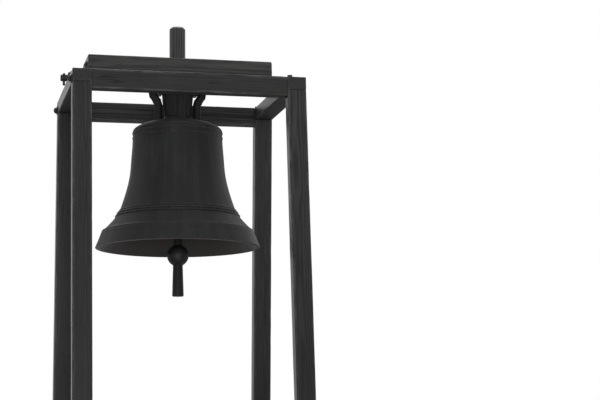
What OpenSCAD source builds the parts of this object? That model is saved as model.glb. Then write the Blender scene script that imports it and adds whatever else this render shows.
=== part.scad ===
// Wooden bell tower: four posts that splay to front and back carry an open frame of beams.
// A bell hangs by its crown under a headstock, which swings on two gudgeons in bearings on the side beams.
// Millimetres. The origin is on the ground under the bell; X runs across the front, Y to the back, Z up.

/* [Frame] */
// Outside width of the frame, across the front
frame_w = 1500; // [1480:5:1600]
// Outside depth of the frame at its top, front to back
frame_d = 1080; // [1060:5:1200]
// Height of the frame's top above the ground
frame_h = 3800; // [3300:10:4300]
// Width of a post and of a side beam, across the front
timber_w = 123; // [112:1:126]
// Thickness of a post and of a front or back beam, front to back
timber_t = 80; // [70:1:90]
// Height of the front and back beams
beam_h = 128; // [110:1:130]
// Height of the side beams, which lie on the post heads
side_beam_h = 85; // [70:1:95]
// Lean of the posts to front and back, in degrees
post_splay = 4.1; // [2:0.1:6]
// Eased edge of the timbers
timber_ease = 3; // [1:0.5:6]

/* [Headstock] */
// Gap between each end of the headstock and the side beam beside it
head_gap = 15; // [15:1:40]
// Thickness of the headstock, front to back
head_t = 320; // [304:1:340]
// Height of the headstock's top above the frame's top
head_top = 186; // [174:1:200]
// Height of the headstock's underside above the frame's top
head_bottom = 22; // [10:1:26]
// Eased edge of the headstock
head_ease = 8; // [2:1:12]
// Length of the notch in the underside that houses the bell's crown
notch_len = 460; // [450:1:520]
// Diameter of the round post on top of the headstock
stub_d = 107; // [90:1:112]
// Height of the round post above the headstock
stub_h = 241; // [180:1:300]
// Chamfer around the top of the round post
stub_chamfer = 12; // [4:1:20]
// Depth of the round post's socket in the headstock
stub_socket = 40; // [20:1:60]

/* [Bearings] */
// Height of the gudgeon axis above the frame's top
axis_h = 54; // [50:1:58]
// Diameter of a gudgeon pin
pin_d = 44; // [36:1:48]
// Radial clearance of a gudgeon pin in its bearing
pin_clear = 0.05; // [0.02:0.01:0.1]
// Width of a bearing along its pin
bearing_w = 90; // [70:1:96]
// Length of a bearing's foot, front to back
bearing_foot = 250; // [220:1:280]
// Thickness of a bearing's foot
bearing_foot_t = 18; // [12:1:24]
// Length of a bearing's body, front to back
bearing_body = 140; // [120:1:170]
// Slope cut off the upper corners of a bearing's body
bearing_slope = 14; // [6:1:20]
// Gap between a gudgeon pin and the flat cap over it
cap_gap = 1; // [0.5:0.5:3]
// Thickness of a bearing's flat cap
cap_t = 5; // [4:1:8]
// Distance from a side beam's inner face to its bearing
bearing_inset = 12; // [8:1:16]
// Length of a gudgeon pin past the outer face of the frame
pin_past = 25; // [10:1:30]
// Chamfer around the end of a gudgeon pin
pin_chamfer = 4; // [1:0.5:6]
// Width of the shoulder around the root of a gudgeon pin
boss_rim = 12; // [6:1:16]
// Length of the shoulder past the end plate
boss_len = 10; // [4:1:12]
// Thickness of a gudgeon's end plate
plate_t = 10; // [6:1:12]
// Length of a gudgeon's end plate, front to back
plate_len = 220; // [160:1:260]
// Height of a gudgeon's end plate
plate_h = 124; // [100:1:126]
// Distance of an end plate's lower edge below the gudgeon axis
plate_below = 28; // [26:1:30]
// Cut off the corners of an end plate
plate_corner = 14; // [6:1:20]

/* [Bell] */
// Outside radius at the lip
lip_r = 540; // [500:1:544]
// Height of the bell from the lip to the top of its dome
bell_h = 854; // [780:1:880]
// Outside radius of the waist
waist_r = 298; // [294:1:302]
// Thickness of the metal at the waist
waist_t = 30; // [24:1:34]
// Thickness of the metal at the sound bow
bow_t = 76; // [68:1:82]
// Thickness of the metal at the top of the dome
dome_t = 36; // [32:1:40]
// Height of the dome above the shoulder
dome_h = 79; // [74:1:84]
// Radius of the round mouldings
bead_r = 6; // [4:0.5:8]
// Distance of the upper shoulder moulding below the shoulder
bead_drop = 13; // [8:1:20]
// Distance between the two shoulder mouldings
bead_pitch = 34; // [28:1:40]

/* [Crown] */
// Height of the crown, from the dome to its flat top
crown_h = 256; // [252:1:260]
// Radius of a canon's round bar
canon_r = 27; // [24:0.5:28]
// Distance of a canon's foot from the bell's axis
canon_foot = 130; // [128:1:134]
// Height of a canon's upright foot above the dome
canon_rise = 95; // [92:1:98]
// Outward lean of a canon, in degrees
canon_lean = 31; // [28:1:33]
// Bend radius at the foot of a canon
canon_bend = 60; // [56:1:70]
// Bend radius of a canon's arch
canon_arch = 42; // [40:1:44]
// Height of a canon's round collars above its bar
collar_r = 3; // [2:0.5:5]
// Width of a canon's round collars
collar_w = 12; // [8:1:16]
// Height of the crown's flat top above the frame's top
crown_top = 52; // [50:1:54]
// Radius of the crown's core at its foot
core_foot = 86; // [78:1:88]
// Radius of the crown's core at its head
core_head = 104; // [98:1:105]
// Width of a hanger's bow along the canon's eye
bow_bar = 23; // [20:1:23]
// Height of a hanger's bow
bow_h = 30; // [24:1:30]
// Diameter of a hanger's two rods
rod_d = 20; // [16:1:22]
// Gap between a hanger's rods and the canon
rod_gap = 5; // [4:0.5:7]
// Gap between a hanger's rods and the crown's core
core_gap = 3; // [2:0.5:5]
// Clearance around a rod in its bore
rod_fit = 0.5; // [0.3:0.1:1]
// Length of the rod ends past their plates
rod_end = 18; // [14:1:20]
// Thickness of the plates under the rod nuts
rod_plate = 8; // [6:1:10]
// Width of a rod plate around its rods
rod_rim = 14; // [10:1:16]
// Depth of the pockets in the headstock's top that hold the plates
pocket_depth = 24; // [20:1:30]
// Gap around a plate in its pocket
pocket_gap = 4; // [2:0.5:5]

/* [Clapper] */
// Depth of the clapper's pivot below the inside of the dome
pivot_drop = 72; // [70:1:80]
// Depth of the clapper ball's centre below the lip
ball_drop = 50; // [44:1:56]
// Diameter of the clapper ball
ball_d = 142; // [130:1:146]
// Diameter of the clapper's stem at its top
stem_d = 42; // [36:1:50]
// Diameter of the clapper's stem at the ball
stem_low_d = 54; // [48:1:60]
// Length of the clapper's tail below the middle of the ball
tail_len = 269; // [200:1:300]
// Diameter of the clapper's tail under the ball
tail_d = 64; // [54:1:70]
// Diameter of the clapper's tail at its lower end
tail_end_d = 76; // [66:1:84]
// Diameter of the clapper's pivot pin
clapper_pin_d = 30; // [24:1:34]
// Radial clearance of the pivot pin in the clapper's eye
clapper_clear = 0.05; // [0.02:0.01:0.1]
// Width of the clapper's eye along the pin
eye_w = 44; // [36:1:46]
// Outside diameter of the clapper's eye
eye_d = 78; // [70:1:84]
// Gap between the clapper's eye and each cheek of its staple
eye_gap = 3; // [2:0.5:5]
// Thickness of the staple's cheeks
cheek_t = 20; // [16:1:24]
// Length of the pivot pin past each cheek
pin_over = 6; // [4:1:10]
// Chamfer around the clapper's lower end
tail_chamfer = 6; // [2:1:10]
// Thickness of the staple's round flange
flange_t = 16; // [12:1:20]
// Gap between the flange and the inside of the dome
flange_gap = 6; // [5:1:9]
// Width of the flange around the cheeks
flange_rim = 8; // [4:1:12]
// Diameter of the staple's shank in the bell's crown
shank_d = 44; // [36:1:50]

/* [Hidden] */
$fn = 64;
clear_w = frame_w - 2 * timber_w;
head_len = clear_w - 2 * head_gap;
post_head = frame_h - side_beam_h;
axis_z = frame_h + axis_h;
head_z0 = frame_h + head_bottom;
head_z1 = frame_h + head_top;
crown_z = frame_h + crown_top;
dome_z = crown_z - crown_h;
lip_z = dome_z - bell_h;
// Centre height of a canon's top bar, and the underside of its collar in the eye
canon_top = crown_z - canon_r - collar_r;
eye_top = canon_top - canon_r - collar_r;
// Middle of a hanger's rods, measured from the bell's axis and from the canon's middle
rod_x = core_head + core_gap + rod_d / 2;
rod_y = canon_r + rod_gap + rod_d / 2;
// Sides of a rod plate, and the bottom of its pocket
rod_plate_w = rod_d + 2 * rod_rim;
rod_plate_l = 2 * rod_y + rod_d + 2 * rod_rim;
pocket_z = head_z1 - pocket_depth;
// Steps of the bell's profile: outward with the lip, and upward with the shoulder
u = lip_r / 540;
v = (bell_h - dome_h) / 775;
shoulder_r = waist_r - 2 * u;
pivot_z = dome_z - dome_t - pivot_drop;
ball_z = lip_z - ball_drop;
tail_z = ball_z - tail_len;
wood = "saddlebrown";
iron = "dimgray";
bronze = "darkolivegreen";

// A rectangle on its middle with eased corners
module eased(w, h, e) {
  polygon([
    [-w / 2 + e, -h / 2], [w / 2 - e, -h / 2], [w / 2, -h / 2 + e], [w / 2, h / 2 - e],
    [w / 2 - e, h / 2], [-w / 2 + e, h / 2], [-w / 2, h / 2 - e], [-w / 2, -h / 2 + e]]);
}

// A timber along X, centred on its length
module timber_x(len, t, h, e) {
  rotate([90, 0, 90])
    linear_extrude(len, center = true)
      eased(t, h, e);
}

// A shape drawn front to back and upwards, made solid along X from x0
module across(x0, len) {
  translate([x0, 0, 0])
    rotate([90, 0, 90])
      linear_extrude(len)
        children();
}

// The front right post: leaned out at its foot and cut level at both ends
module post() {
  run = post_head / cos(post_splay);
  reach = frame_d / 2 + frame_h;
  color(wood)
    intersection() {
      translate([clear_w / 2 + timber_w / 2, -frame_d / 2, post_head])
        rotate([-post_splay, 0, 0])
          translate([0, timber_t / 2, -run - timber_t])
            linear_extrude(run + 2 * timber_t)
              eased(timber_w, timber_t, timber_ease);
      translate([0, -reach, 0])
        cube([frame_w, reach, post_head]);
    }
}

module front_right_post() {
  post();
}

module front_left_post() {
  mirror([1, 0, 0])
    post();
}

module back_right_post() {
  mirror([0, 1, 0])
    post();
}

module back_left_post() {
  mirror([1, 0, 0])
    mirror([0, 1, 0])
      post();
}

// The front beam stands on edge between the side beams, with its foot between the post heads
module front_beam() {
  color(wood)
    translate([0, -frame_d / 2 + timber_t / 2, frame_h - beam_h / 2])
      timber_x(clear_w, timber_t, beam_h, timber_ease);
}

module back_beam() {
  mirror([0, 1, 0])
    front_beam();
}

// The right side beam lies flat over the two post heads
module right_side_beam() {
  color(wood)
    translate([clear_w / 2 + timber_w / 2, 0, frame_h - side_beam_h / 2])
      rotate([90, 0, 0])
        linear_extrude(frame_d, center = true)
          eased(timber_w, side_beam_h, timber_ease);
}

module left_side_beam() {
  mirror([1, 0, 0])
    right_side_beam();
}

// Lower part of a bearing: foot, body and an open slot for the pin
module right_bearing_base() {
  slot_r = pin_d / 2 + pin_clear;
  top = axis_h + pin_d / 2 + cap_gap;
  color(iron)
    translate([0, 0, frame_h])
      across(clear_w / 2 + bearing_inset, bearing_w)
        difference() {
          union() {
            translate([-bearing_foot / 2, 0])
              square([bearing_foot, bearing_foot_t]);
            polygon([
              [-bearing_body / 2, 0], [bearing_body / 2, 0], [bearing_body / 2, top - 2 * bearing_slope],
              [bearing_body / 2 - bearing_slope, top], [-bearing_body / 2 + bearing_slope, top],
              [-bearing_body / 2, top - 2 * bearing_slope]]);
          }
          translate([0, axis_h])
            circle(r = slot_r);
          translate([-slot_r, axis_h])
            square([2 * slot_r, pin_d]);
        }
}

// Flat cap across the slot of a bearing
module right_bearing_cap() {
  len = bearing_body - 2 * bearing_slope;
  color(iron)
    translate([0, 0, axis_z + pin_d / 2 + cap_gap])
      across(clear_w / 2 + bearing_inset, bearing_w)
        translate([-len / 2, 0])
          square([len, cap_t]);
}

module left_bearing_base() {
  mirror([1, 0, 0])
    right_bearing_base();
}

module left_bearing_cap() {
  mirror([1, 0, 0])
    right_bearing_cap();
}

// Headstock: a heavy beam, notched below for the crown, bored for the hanger rods and for its post
module headstock() {
  color(wood)
    difference() {
      translate([0, 0, (head_z0 + head_z1) / 2])
        timber_x(head_len, head_t, head_z1 - head_z0, head_ease);
      translate([-notch_len / 2, -head_t, head_z0 - 1])
        cube([notch_len, 2 * head_t, crown_z - head_z0 + 1]);
      translate([0, 0, head_z1 - stub_socket])
        cylinder(d = stub_d, h = stub_socket + 1);
      for (turn = [0, 90, 180, 270])
        rotate([0, 0, turn]) {
          rod_bores();
          rod_pocket();
        }
    }
}

// Pocket in the headstock's top around one rod plate
module rod_pocket() {
  translate([rod_x, 0, pocket_z])
    linear_extrude(pocket_depth + 1)
      square([rod_plate_w + 2 * pocket_gap, rod_plate_l + 2 * pocket_gap], center = true);
}

// The two bores of one hanger's rods
module rod_bores() {
  for (side = [-1, 1])
    translate([rod_x, side * rod_y, frame_h])
      cylinder(d = rod_d + 2 * rod_fit, h = 2 * head_top);
}

// Round post in its socket on the headstock, chamfered around its top
module headstock_post() {
  foot = head_z1 - stub_socket;
  top = head_z1 + stub_h;
  color(wood)
    rotate_extrude()
      polygon([
        [0, foot], [stub_d / 2, foot], [stub_d / 2, top - stub_chamfer],
        [stub_d / 2 - stub_chamfer, top], [0, top]]);
}

// Gudgeon: an end plate on the headstock with a shoulder and a round pin
module right_gudgeon() {
  pin_len = head_gap + timber_w + pin_past;
  color(iron)
    union() {
      across(head_len / 2, plate_t)
        translate([0, axis_z - plate_below + plate_h / 2])
          eased(plate_len, plate_h, plate_corner);
      translate([head_len / 2, 0, axis_z])
        rotate([0, 90, 0]) {
          cylinder(d = pin_d + 2 * boss_rim, h = plate_t + boss_len);
          cylinder(d = pin_d, h = pin_len - pin_chamfer);
          translate([0, 0, pin_len - pin_chamfer])
            cylinder(d1 = pin_d, d2 = pin_d - 2 * pin_chamfer, h = pin_chamfer);
        }
    }
}

module left_gudgeon() {
  mirror([1, 0, 0])
    right_gudgeon();
}

// Smooth curve through stations: cubic between each pair, its slope set by the neighbours
function slope(p, i) =
  let (a = p[max(i - 1, 0)], b = p[min(i + 1, len(p) - 1)])
  (b - a) / 2;
function between(p, i, t) =
  let (m0 = slope(p, i), m1 = slope(p, i + 1), t2 = t * t, t3 = t * t * t)
  (2 * t3 - 3 * t2 + 1) * p[i] + (t3 - 2 * t2 + t) * m0 + (3 * t2 - 2 * t3) * p[i + 1] + (t3 - t2) * m1;
function smooth(p, steps) = [
  for (i = [0:len(p) - 2], s = [0:steps - 1]) between(p, i, s / steps),
  p[len(p) - 1]];

// Stations of the bell's outside from the lip to the shoulder: radius, height above the lip
outer_stations = [
  [lip_r, 0], [lip_r - 27 * u, 66 * v], [lip_r - 42 * u, 103 * v], [lip_r - 80 * u, 140 * v],
  [lip_r - 132 * u, 200 * v], [waist_r + 77 * u, 262 * v], [waist_r + 39 * u, 381 * v],
  [waist_r + 17 * u, 483 * v], [waist_r + 7 * u, 600 * v], [waist_r, 690 * v],
  [shoulder_r, bell_h - dome_h]];
// Stations of the inside from the lip to the shoulder, past the thick sound bow
inner_stations = [
  [lip_r - 22 * u, -4 * v], [lip_r - 30 * u - bow_t * 0.8, 66 * v], [lip_r - 78 * u - bow_t * 0.72, 131 * v],
  [lip_r - 132 * u - bow_t * 0.5, 200 * v], [waist_r + 73 * u - waist_t, 262 * v],
  [waist_r + 39 * u - waist_t, 381 * v], [waist_r + 17 * u - waist_t, 483 * v],
  [waist_r + 7 * u - waist_t, 600 * v], [waist_r - waist_t, 690 * v],
  [shoulder_r - waist_t, bell_h - dome_h]];
// The dome is close to a quarter ellipse inside and outside, with a softer shoulder
function dome(r, h, steps) = [
  for (i = [1:steps]) [r * cos(90 * i / steps), bell_h - dome_h + h * pow(sin(90 * i / steps), 1.2)]];

// Half section of the bell with its mouldings
module bell_section() {
  outer = concat(smooth(outer_stations, 5), dome(shoulder_r, dome_h, 12));
  inner = concat(smooth(inner_stations, 5), dome(shoulder_r - waist_t, dome_h - dome_t, 12));
  difference() {
    union() {
      polygon(concat(outer, [for (i = [len(inner) - 1:-1:0]) inner[i]]));
      // Double moulding at the shoulder
      for (drop = [bead_drop, bead_drop + bead_pitch])
        translate([waist_r - 4 * u, bell_h - dome_h - drop])
          circle(r = bead_r);
      // Three mouldings above the sound bow
      translate([lip_r - 157 * u, 240 * v])
        circle(r = bead_r);
      translate([lip_r - 147 * u, 224 * v])
        circle(r = bead_r + 2 * u);
      translate([lip_r - 134 * u, 206 * v])
        circle(r = bead_r);
      // Line around the sound bow
      translate([lip_r - 47 * u, 107 * v])
        circle(r = bead_r - u);
    }
    // Clear the axis for the staple's shank
    translate([-1, 0])
      square([shank_d / 2 + 1, 2 * bell_h]);
  }
}

// One canon: a round bar that rises from the dome, leans outward and arches back into the core
module canon() {
  bend_z = dome_z + canon_rise;
  sunk = 24 * u;
  // End of the bend, and the straight run up to the arch
  bx = canon_foot + canon_bend * (1 - cos(canon_lean));
  bz = bend_z + canon_bend * sin(canon_lean);
  arch_z = canon_top - canon_arch;
  sz = arch_z - canon_arch * sin(canon_lean);
  run = (sz - bz) / cos(canon_lean);
  sx = bx + run * sin(canon_lean);
  arch_x = sx - canon_arch * cos(canon_lean);
  translate([canon_foot, 0, dome_z - sunk])
    cylinder(r = canon_r, h = canon_rise + sunk);
  translate([canon_foot + canon_bend, 0, bend_z])
    rotate([90, 0, 0])
      rotate([0, 0, 180 - canon_lean])
        rotate_extrude(angle = canon_lean)
          translate([canon_bend, 0])
            circle(r = canon_r);
  translate([bx, 0, bz])
    rotate([0, canon_lean, 0])
      cylinder(r = canon_r, h = run);
  translate([arch_x, 0, arch_z])
    rotate([90, 0, 0])
      rotate([0, 0, -canon_lean])
        rotate_extrude(angle = 90 + canon_lean)
          translate([canon_arch, 0])
            circle(r = canon_r);
  translate([0, 0, canon_top])
    rotate([0, 90, 0])
      cylinder(r = canon_r, h = arch_x);
  // Collars around the ends of the bends
  translate([canon_foot, 0, bend_z])
    collar();
  translate([bx, 0, bz])
    rotate([0, canon_lean, 0])
      collar();
  translate([sx, 0, sz])
    rotate([0, canon_lean, 0])
      collar();
  translate([arch_x, 0, canon_top])
    rotate([0, 90, 0])
      collar();
}

// Round collar on a canon's bar
module collar() {
  cylinder(r = canon_r + collar_r, h = collar_w, center = true);
}

// Core of the crown: a round pillar that spreads to its head like a capital
module crown_core() {
  foot = dome_z - 12 * u;
  neck = foot + 32 * u;
  head = crown_z - 60 * u;
  steps = 10;
  spread = core_head - core_foot;
  rotate_extrude()
    difference() {
      polygon(concat(
        [[0, foot], [core_foot + 10 * u, foot], [core_foot + 10 * u, neck - 10 * u]],
        [for (i = [0:steps]) [core_foot + spread * sin(90 * i / steps), neck + (head - neck) * i / steps]],
        [[core_head, crown_z], [0, crown_z]]));
      translate([-1, 0])
        square([shank_d / 2 + 1, 2 * frame_h]);
    }
}

// Bell and crown, cast in one piece
module bell() {
  color(bronze)
    difference() {
      union() {
        translate([0, 0, lip_z])
          rotate_extrude()
            bell_section();
        crown_core();
        for (turn = [0, 90, 180, 270])
          rotate([0, 0, turn])
            canon();
      }
      translate([0, 0, dome_z - 2 * dome_t])
        cylinder(d = shank_d, h = 2 * head_top + bell_h);
    }
}

// Hanger: a bow through the eye of a canon with two rods up through the headstock
module hanger() {
  bow_z = eye_top - bow_h;
  cut = bow_h * 0.35;
  outside = rod_y + rod_d / 2;
  top = pocket_z + rod_plate + rod_end;
  color(iron)
    union() {
      across(core_head + core_gap, bow_bar)
        polygon([
          [-outside, bow_z + cut], [-outside + cut, bow_z], [outside - cut, bow_z], [outside, bow_z + cut],
          [outside, eye_top], [-outside, eye_top]]);
      for (side = [-1, 1])
        translate([rod_x, side * rod_y, bow_z + bow_h / 2])
          cylinder(d = rod_d, h = top - bow_z - bow_h / 2);
    }
}

module right_hanger() {
  hanger();
}

module back_hanger() {
  rotate([0, 0, 90])
    hanger();
}

module left_hanger() {
  rotate([0, 0, 180])
    hanger();
}

module front_hanger() {
  rotate([0, 0, 270])
    hanger();
}

// Four plates in the headstock's pockets, each around the rods of one hanger
module hanger_plates() {
  color(iron)
    for (turn = [0, 90, 180, 270])
      rotate([0, 0, turn])
        difference() {
          translate([rod_x, 0, pocket_z])
            linear_extrude(rod_plate)
              eased(rod_plate_w, rod_plate_l, rod_rim / 2);
          rod_bores();
        }
}

// Staple inside the bell: a shank in the crown, a round flange and two cheeks for the pivot pin
module clapper_staple() {
  seat = dome_z - dome_t;
  low = seat - flange_gap - flange_t;
  cheek_in = eye_w / 2 + eye_gap;
  color(iron)
    union() {
      translate([0, 0, low])
        cylinder(d = shank_d, h = crown_z - low);
      translate([0, 0, low])
        cylinder(r = cheek_in + cheek_t + flange_rim, h = flange_t);
      for (side = [0, 1])
        mirror([side, 0, 0])
          across(cheek_in, cheek_t)
            difference() {
              union() {
                translate([-eye_d / 2, pivot_z])
                  square([eye_d, low - pivot_z]);
                translate([0, pivot_z])
                  circle(d = eye_d);
              }
              translate([0, pivot_z])
                circle(d = clapper_pin_d);
            }
    }
}

// Pivot pin through both cheeks
module clapper_pin() {
  half = eye_w / 2 + eye_gap + cheek_t + pin_over;
  color(iron)
    translate([0, 0, pivot_z])
      rotate([0, 90, 0])
        cylinder(d = clapper_pin_d, h = 2 * half, center = true);
}

// Half section of the clapper's stem, ball and tail
module clapper_section() {
  polygon([
    [0, tail_z], [tail_end_d / 2 - tail_chamfer, tail_z], [tail_end_d / 2, tail_z + tail_chamfer],
    [tail_d / 2, ball_z - ball_d * 0.44], [tail_d / 2, ball_z], [stem_low_d / 2, ball_z],
    [stem_d / 2, pivot_z - eye_d * 0.45], [0, pivot_z - eye_d * 0.45]]);
  intersection() {
    translate([0, ball_z])
      circle(d = ball_d);
    translate([0, tail_z])
      square([ball_d, 2 * tail_len]);
  }
}

// Clapper: an eye on the pivot pin, a stem, a striking ball and a long tail
module clapper() {
  color(iron)
    difference() {
      union() {
        rotate_extrude()
          clapper_section();
        translate([0, 0, pivot_z])
          rotate([0, 90, 0])
            cylinder(d = eye_d, h = eye_w, center = true);
      }
      translate([0, 0, pivot_z])
        rotate([0, 90, 0])
          cylinder(r = clapper_pin_d / 2 + clapper_clear, h = 2 * eye_w, center = true);
    }
}

front_left_post();
front_right_post();
back_left_post();
back_right_post();
front_beam();
back_beam();
left_side_beam();
right_side_beam();
left_bearing_base();
left_bearing_cap();
right_bearing_base();
right_bearing_cap();
headstock();
headstock_post();
left_gudgeon();
right_gudgeon();
bell();
left_hanger();
right_hanger();
front_hanger();
back_hanger();
hanger_plates();
clapper_staple();
clapper_pin();
clapper();
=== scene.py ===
"""Looks of a wooden bell tower, built around its packed construction model.

Metres, in the model's own frame: the origin is on the ground under the bell, X runs across the front,
Y to the back and Z up. Each sub-assembly is a class that builds its meshes and hands each piece to the
body that it moves with.
"""

import logging
import math
from contextlib import contextmanager
from dataclasses import dataclass
from enum import Enum
from typing import Callable, Dict, Iterator, List, Optional, Sequence, Tuple, Union

import bmesh
import bpy
import numpy as np
from mathutils import Matrix, Vector, noise


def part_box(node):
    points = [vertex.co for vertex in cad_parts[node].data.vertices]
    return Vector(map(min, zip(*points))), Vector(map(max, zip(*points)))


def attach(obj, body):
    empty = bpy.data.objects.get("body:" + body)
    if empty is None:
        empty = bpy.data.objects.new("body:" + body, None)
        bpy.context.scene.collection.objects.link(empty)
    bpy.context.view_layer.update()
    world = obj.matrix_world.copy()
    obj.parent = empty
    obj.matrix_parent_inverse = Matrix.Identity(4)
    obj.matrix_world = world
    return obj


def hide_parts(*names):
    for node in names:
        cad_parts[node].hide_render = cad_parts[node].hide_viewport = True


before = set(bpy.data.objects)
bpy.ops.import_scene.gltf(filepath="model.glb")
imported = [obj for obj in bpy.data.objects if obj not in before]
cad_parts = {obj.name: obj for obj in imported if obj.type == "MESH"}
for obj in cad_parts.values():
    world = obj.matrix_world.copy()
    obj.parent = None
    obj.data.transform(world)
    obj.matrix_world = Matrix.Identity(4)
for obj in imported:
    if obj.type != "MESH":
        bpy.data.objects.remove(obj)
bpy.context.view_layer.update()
LOG = logging.getLogger("bell_tower")

Colour = Tuple[float, float, float]
Triple = Tuple[float, float, float]
Station = Tuple[float, float]
# A section is its middle and its half sizes, and a spot is a place and the way that it faces
Section = Tuple[Vector, float, float]
Spot = Tuple[Vector, Vector]

ACROSS, BACK, UP = Vector((1, 0, 0)), Vector((0, 1, 0)), Vector((0, 0, 1))
SIDES = (-1.0, 1.0)


class Body(Enum):
    """The bodies that move against each other."""

    TOWER = "tower"
    SWING = "swinging_bell"
    CLAPPER = "clapper"


class Slot(Enum):
    """The slots of the finishes, by name."""

    POST = "post_wood"
    BEAM = "beam_wood"
    HEADSTOCK = "headstock_wood"
    BEARING = "bearing_iron"
    FORGED = "forged_iron"
    BRONZE = "bell_bronze"
    CLAPPER = "clapper_iron"


class Pattern(Enum):
    """Noise in the finishes: its scale along each axis, its detail and its roughness."""

    SWAY = ((1.1, 6.0, 6.0), 2.0, 0.5)
    STREAK = ((5.0, 130.0, 130.0), 4.0, 0.62)
    FIBRE = ((22.0, 620.0, 620.0), 2.0, 0.5)
    PATCH = ((1.3, 9.0, 9.0), 3.0, 0.6)
    CHECK_LINE = ((1.7, 46.0, 46.0), 2.0, 0.45)
    CHECK_PLACE = ((2.4, 11.0, 11.0), 2.0, 0.5)
    EDGE_WEAR = ((9.0, 60.0, 60.0), 3.0, 0.6)
    RUNS = ((1.0, 1.0, 1.0), 5.0, 0.65)
    CLOUDS = ((5.0, 5.0, 4.0), 4.0, 0.6)
    CAST_SKIN = ((210.0, 210.0, 210.0), 3.0, 0.6)
    CAST_PITS = ((46.0, 46.0, 46.0), 4.0, 0.7)
    BLOTCH = ((16.0, 16.0, 16.0), 5.0, 0.65)
    HAMMER = ((55.0, 55.0, 40.0), 2.0, 0.5)
    IRON_PITS = ((260.0, 260.0, 260.0), 3.0, 0.6)


def math_method(operation: str, swapped: bool = False) -> Callable[..., "Wire"]:
    """Make an arithmetic method of a wire.

    Args:
        operation: The Math node's operation.
        swapped: Puts the wire on the right, as a reflected form does.

    Returns:
        The method.
    """
    def method(wire: "Wire", other: "Value" = 0.0) -> "Wire":
        """Return the result of the operation."""
        first, second = (other, wire) if swapped else (wire, other)
        return wire.graph.node("ShaderNodeMath", {0: first, 1: second}, operation=operation)

    return method


class Wire:
    """A node's output that takes part in arithmetic."""

    __add__, __radd__ = math_method("ADD"), math_method("ADD", True)
    __sub__, __rsub__ = math_method("SUBTRACT"), math_method("SUBTRACT", True)
    __mul__, __rmul__ = math_method("MULTIPLY"), math_method("MULTIPLY", True)
    __rtruediv__ = math_method("DIVIDE", True)
    # size leaves out the sign, and y.turn_from(x) is the angle of a point about the origin
    size, sine, turn_from = math_method("ABSOLUTE"), math_method("SINE"), math_method("ARCTAN2")

    def __init__(self, graph: "Graph", socket: bpy.types.NodeSocket) -> None:
        """Keep the socket and the graph that holds its node."""
        self.graph = graph
        self.socket = socket

    def over(self, low: float, high: float) -> "Wire":
        """Return a smooth step from 0 at low to 1 at high."""
        inputs = {"Value": self, "From Min": low, "From Max": high}
        return self.graph.node("ShaderNodeMapRange", inputs, interpolation_type="SMOOTHSTEP")

    def under(self, low: float, high: float) -> "Wire":
        """Return a smooth step from 1 at low to 0 at high."""
        return 1.0 - self.over(low, high)


Value = Union[Wire, float, Sequence[float]]


class Graph:
    """A node tree that is written as expressions."""

    def __init__(self, tree: bpy.types.NodeTree) -> None:
        """Empty the tree and keep it."""
        tree.nodes.clear()
        self.tree = tree

    @staticmethod
    def find(sockets: Sequence[bpy.types.NodeSocket], key: Union[int, str]) -> bpy.types.NodeSocket:
        """Return the socket at a place, or with an identifier or a name."""
        if isinstance(key, int):
            return sockets[key]
        return next(s for s in sockets if key in (s.identifier, s.name))

    def node(self, kind: str, inputs: Optional[dict] = None, output: Union[int, str] = 0,
             **settings: object) -> Optional[Wire]:
        """Add a node.

        Args:
            kind: The node's type.
            inputs: Values, wires or lists of wires for its sockets, by place, identifier or name.
            output: The socket that is returned.
            settings: The node's own settings, which are set first.

        Returns:
            The chosen output, or nothing from a node that ends a tree.
        """
        made = self.tree.nodes.new(kind)
        for key, value in settings.items():
            setattr(made, key, value)
        for key, value in (inputs or {}).items():
            socket = self.find(made.inputs, key)
            for one in value if isinstance(value, list) else [value]:
                if isinstance(one, Wire):
                    self.tree.links.new(one.socket, socket)
                else:
                    socket.default_value = (*one, 1.0) if socket.type == "RGBA" else one
        return Wire(self, self.find(made.outputs, output)) if len(made.outputs) else None


class ShaderGraph(Graph):
    """The nodes of a material or of the world."""

    def attribute(self, name: str, output: str = "Fac") -> Wire:
        """Return a mesh attribute."""
        return self.node("ShaderNodeAttribute", output=output, attribute_name=name)

    def place(self) -> Wire:
        """Return the object coordinates."""
        return self.node("ShaderNodeTexCoord", output="Object")

    def part(self, vector: Wire, axis: str) -> Wire:
        """Return one part of a vector: X, Y or Z."""
        return self.node("ShaderNodeSeparateXYZ", {"Vector": vector}, axis)

    def vector(self, operation: str, *sides: Value, output: str = "Vector") -> Wire:
        """Return the result of a Vector Math node."""
        return self.node("ShaderNodeVectorMath", dict(enumerate(sides)), output, operation=operation)

    def cloud(self, vector: Wire, pattern: Pattern, output: str = "Fac") -> Wire:
        """Return noise over a stretched vector.

        Args:
            vector: Where the noise is read.
            pattern: Its scale, detail and roughness.
            output: Fac for one number or Color for three.

        Returns:
            The noise.
        """
        scale, detail, rough = pattern.value
        stretched = self.vector("MULTIPLY", vector, scale)
        inputs = {"Vector": stretched, "Scale": 1.0, "Detail": detail, "Roughness": rough}
        return self.node("ShaderNodeTexNoise", inputs, output)

    def mix(self, share: Value, low: Value, high: Value) -> Wire:
        """Return a colour between low and high."""
        inputs = {"Factor_Float": share, "A_Color": low, "B_Color": high}
        return self.node("ShaderNodeMix", inputs, "Result_Color", data_type="RGBA")

    def bump(self, height: Wire, strength: float, distance: float) -> Wire:
        """Return a normal that follows a height."""
        return self.node("ShaderNodeBump", {"Strength": strength, "Distance": distance, "Height": height})

    def surface(self, inputs: Dict[str, Value]) -> None:
        """Close the tree with a Principled shader."""
        shader = self.node("ShaderNodeBsdfPrincipled", inputs)
        self.node("ShaderNodeOutputMaterial", {"Surface": shader})


def new_material(name: str) -> Tuple[bpy.types.Material, ShaderGraph]:
    """Make an empty material.

    Args:
        name: The material's name.

    Returns:
        The material and the graph of its nodes.
    """
    material = bpy.data.materials.new(name)
    material.use_nodes = True
    return material, ShaderGraph(material.node_tree)


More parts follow.
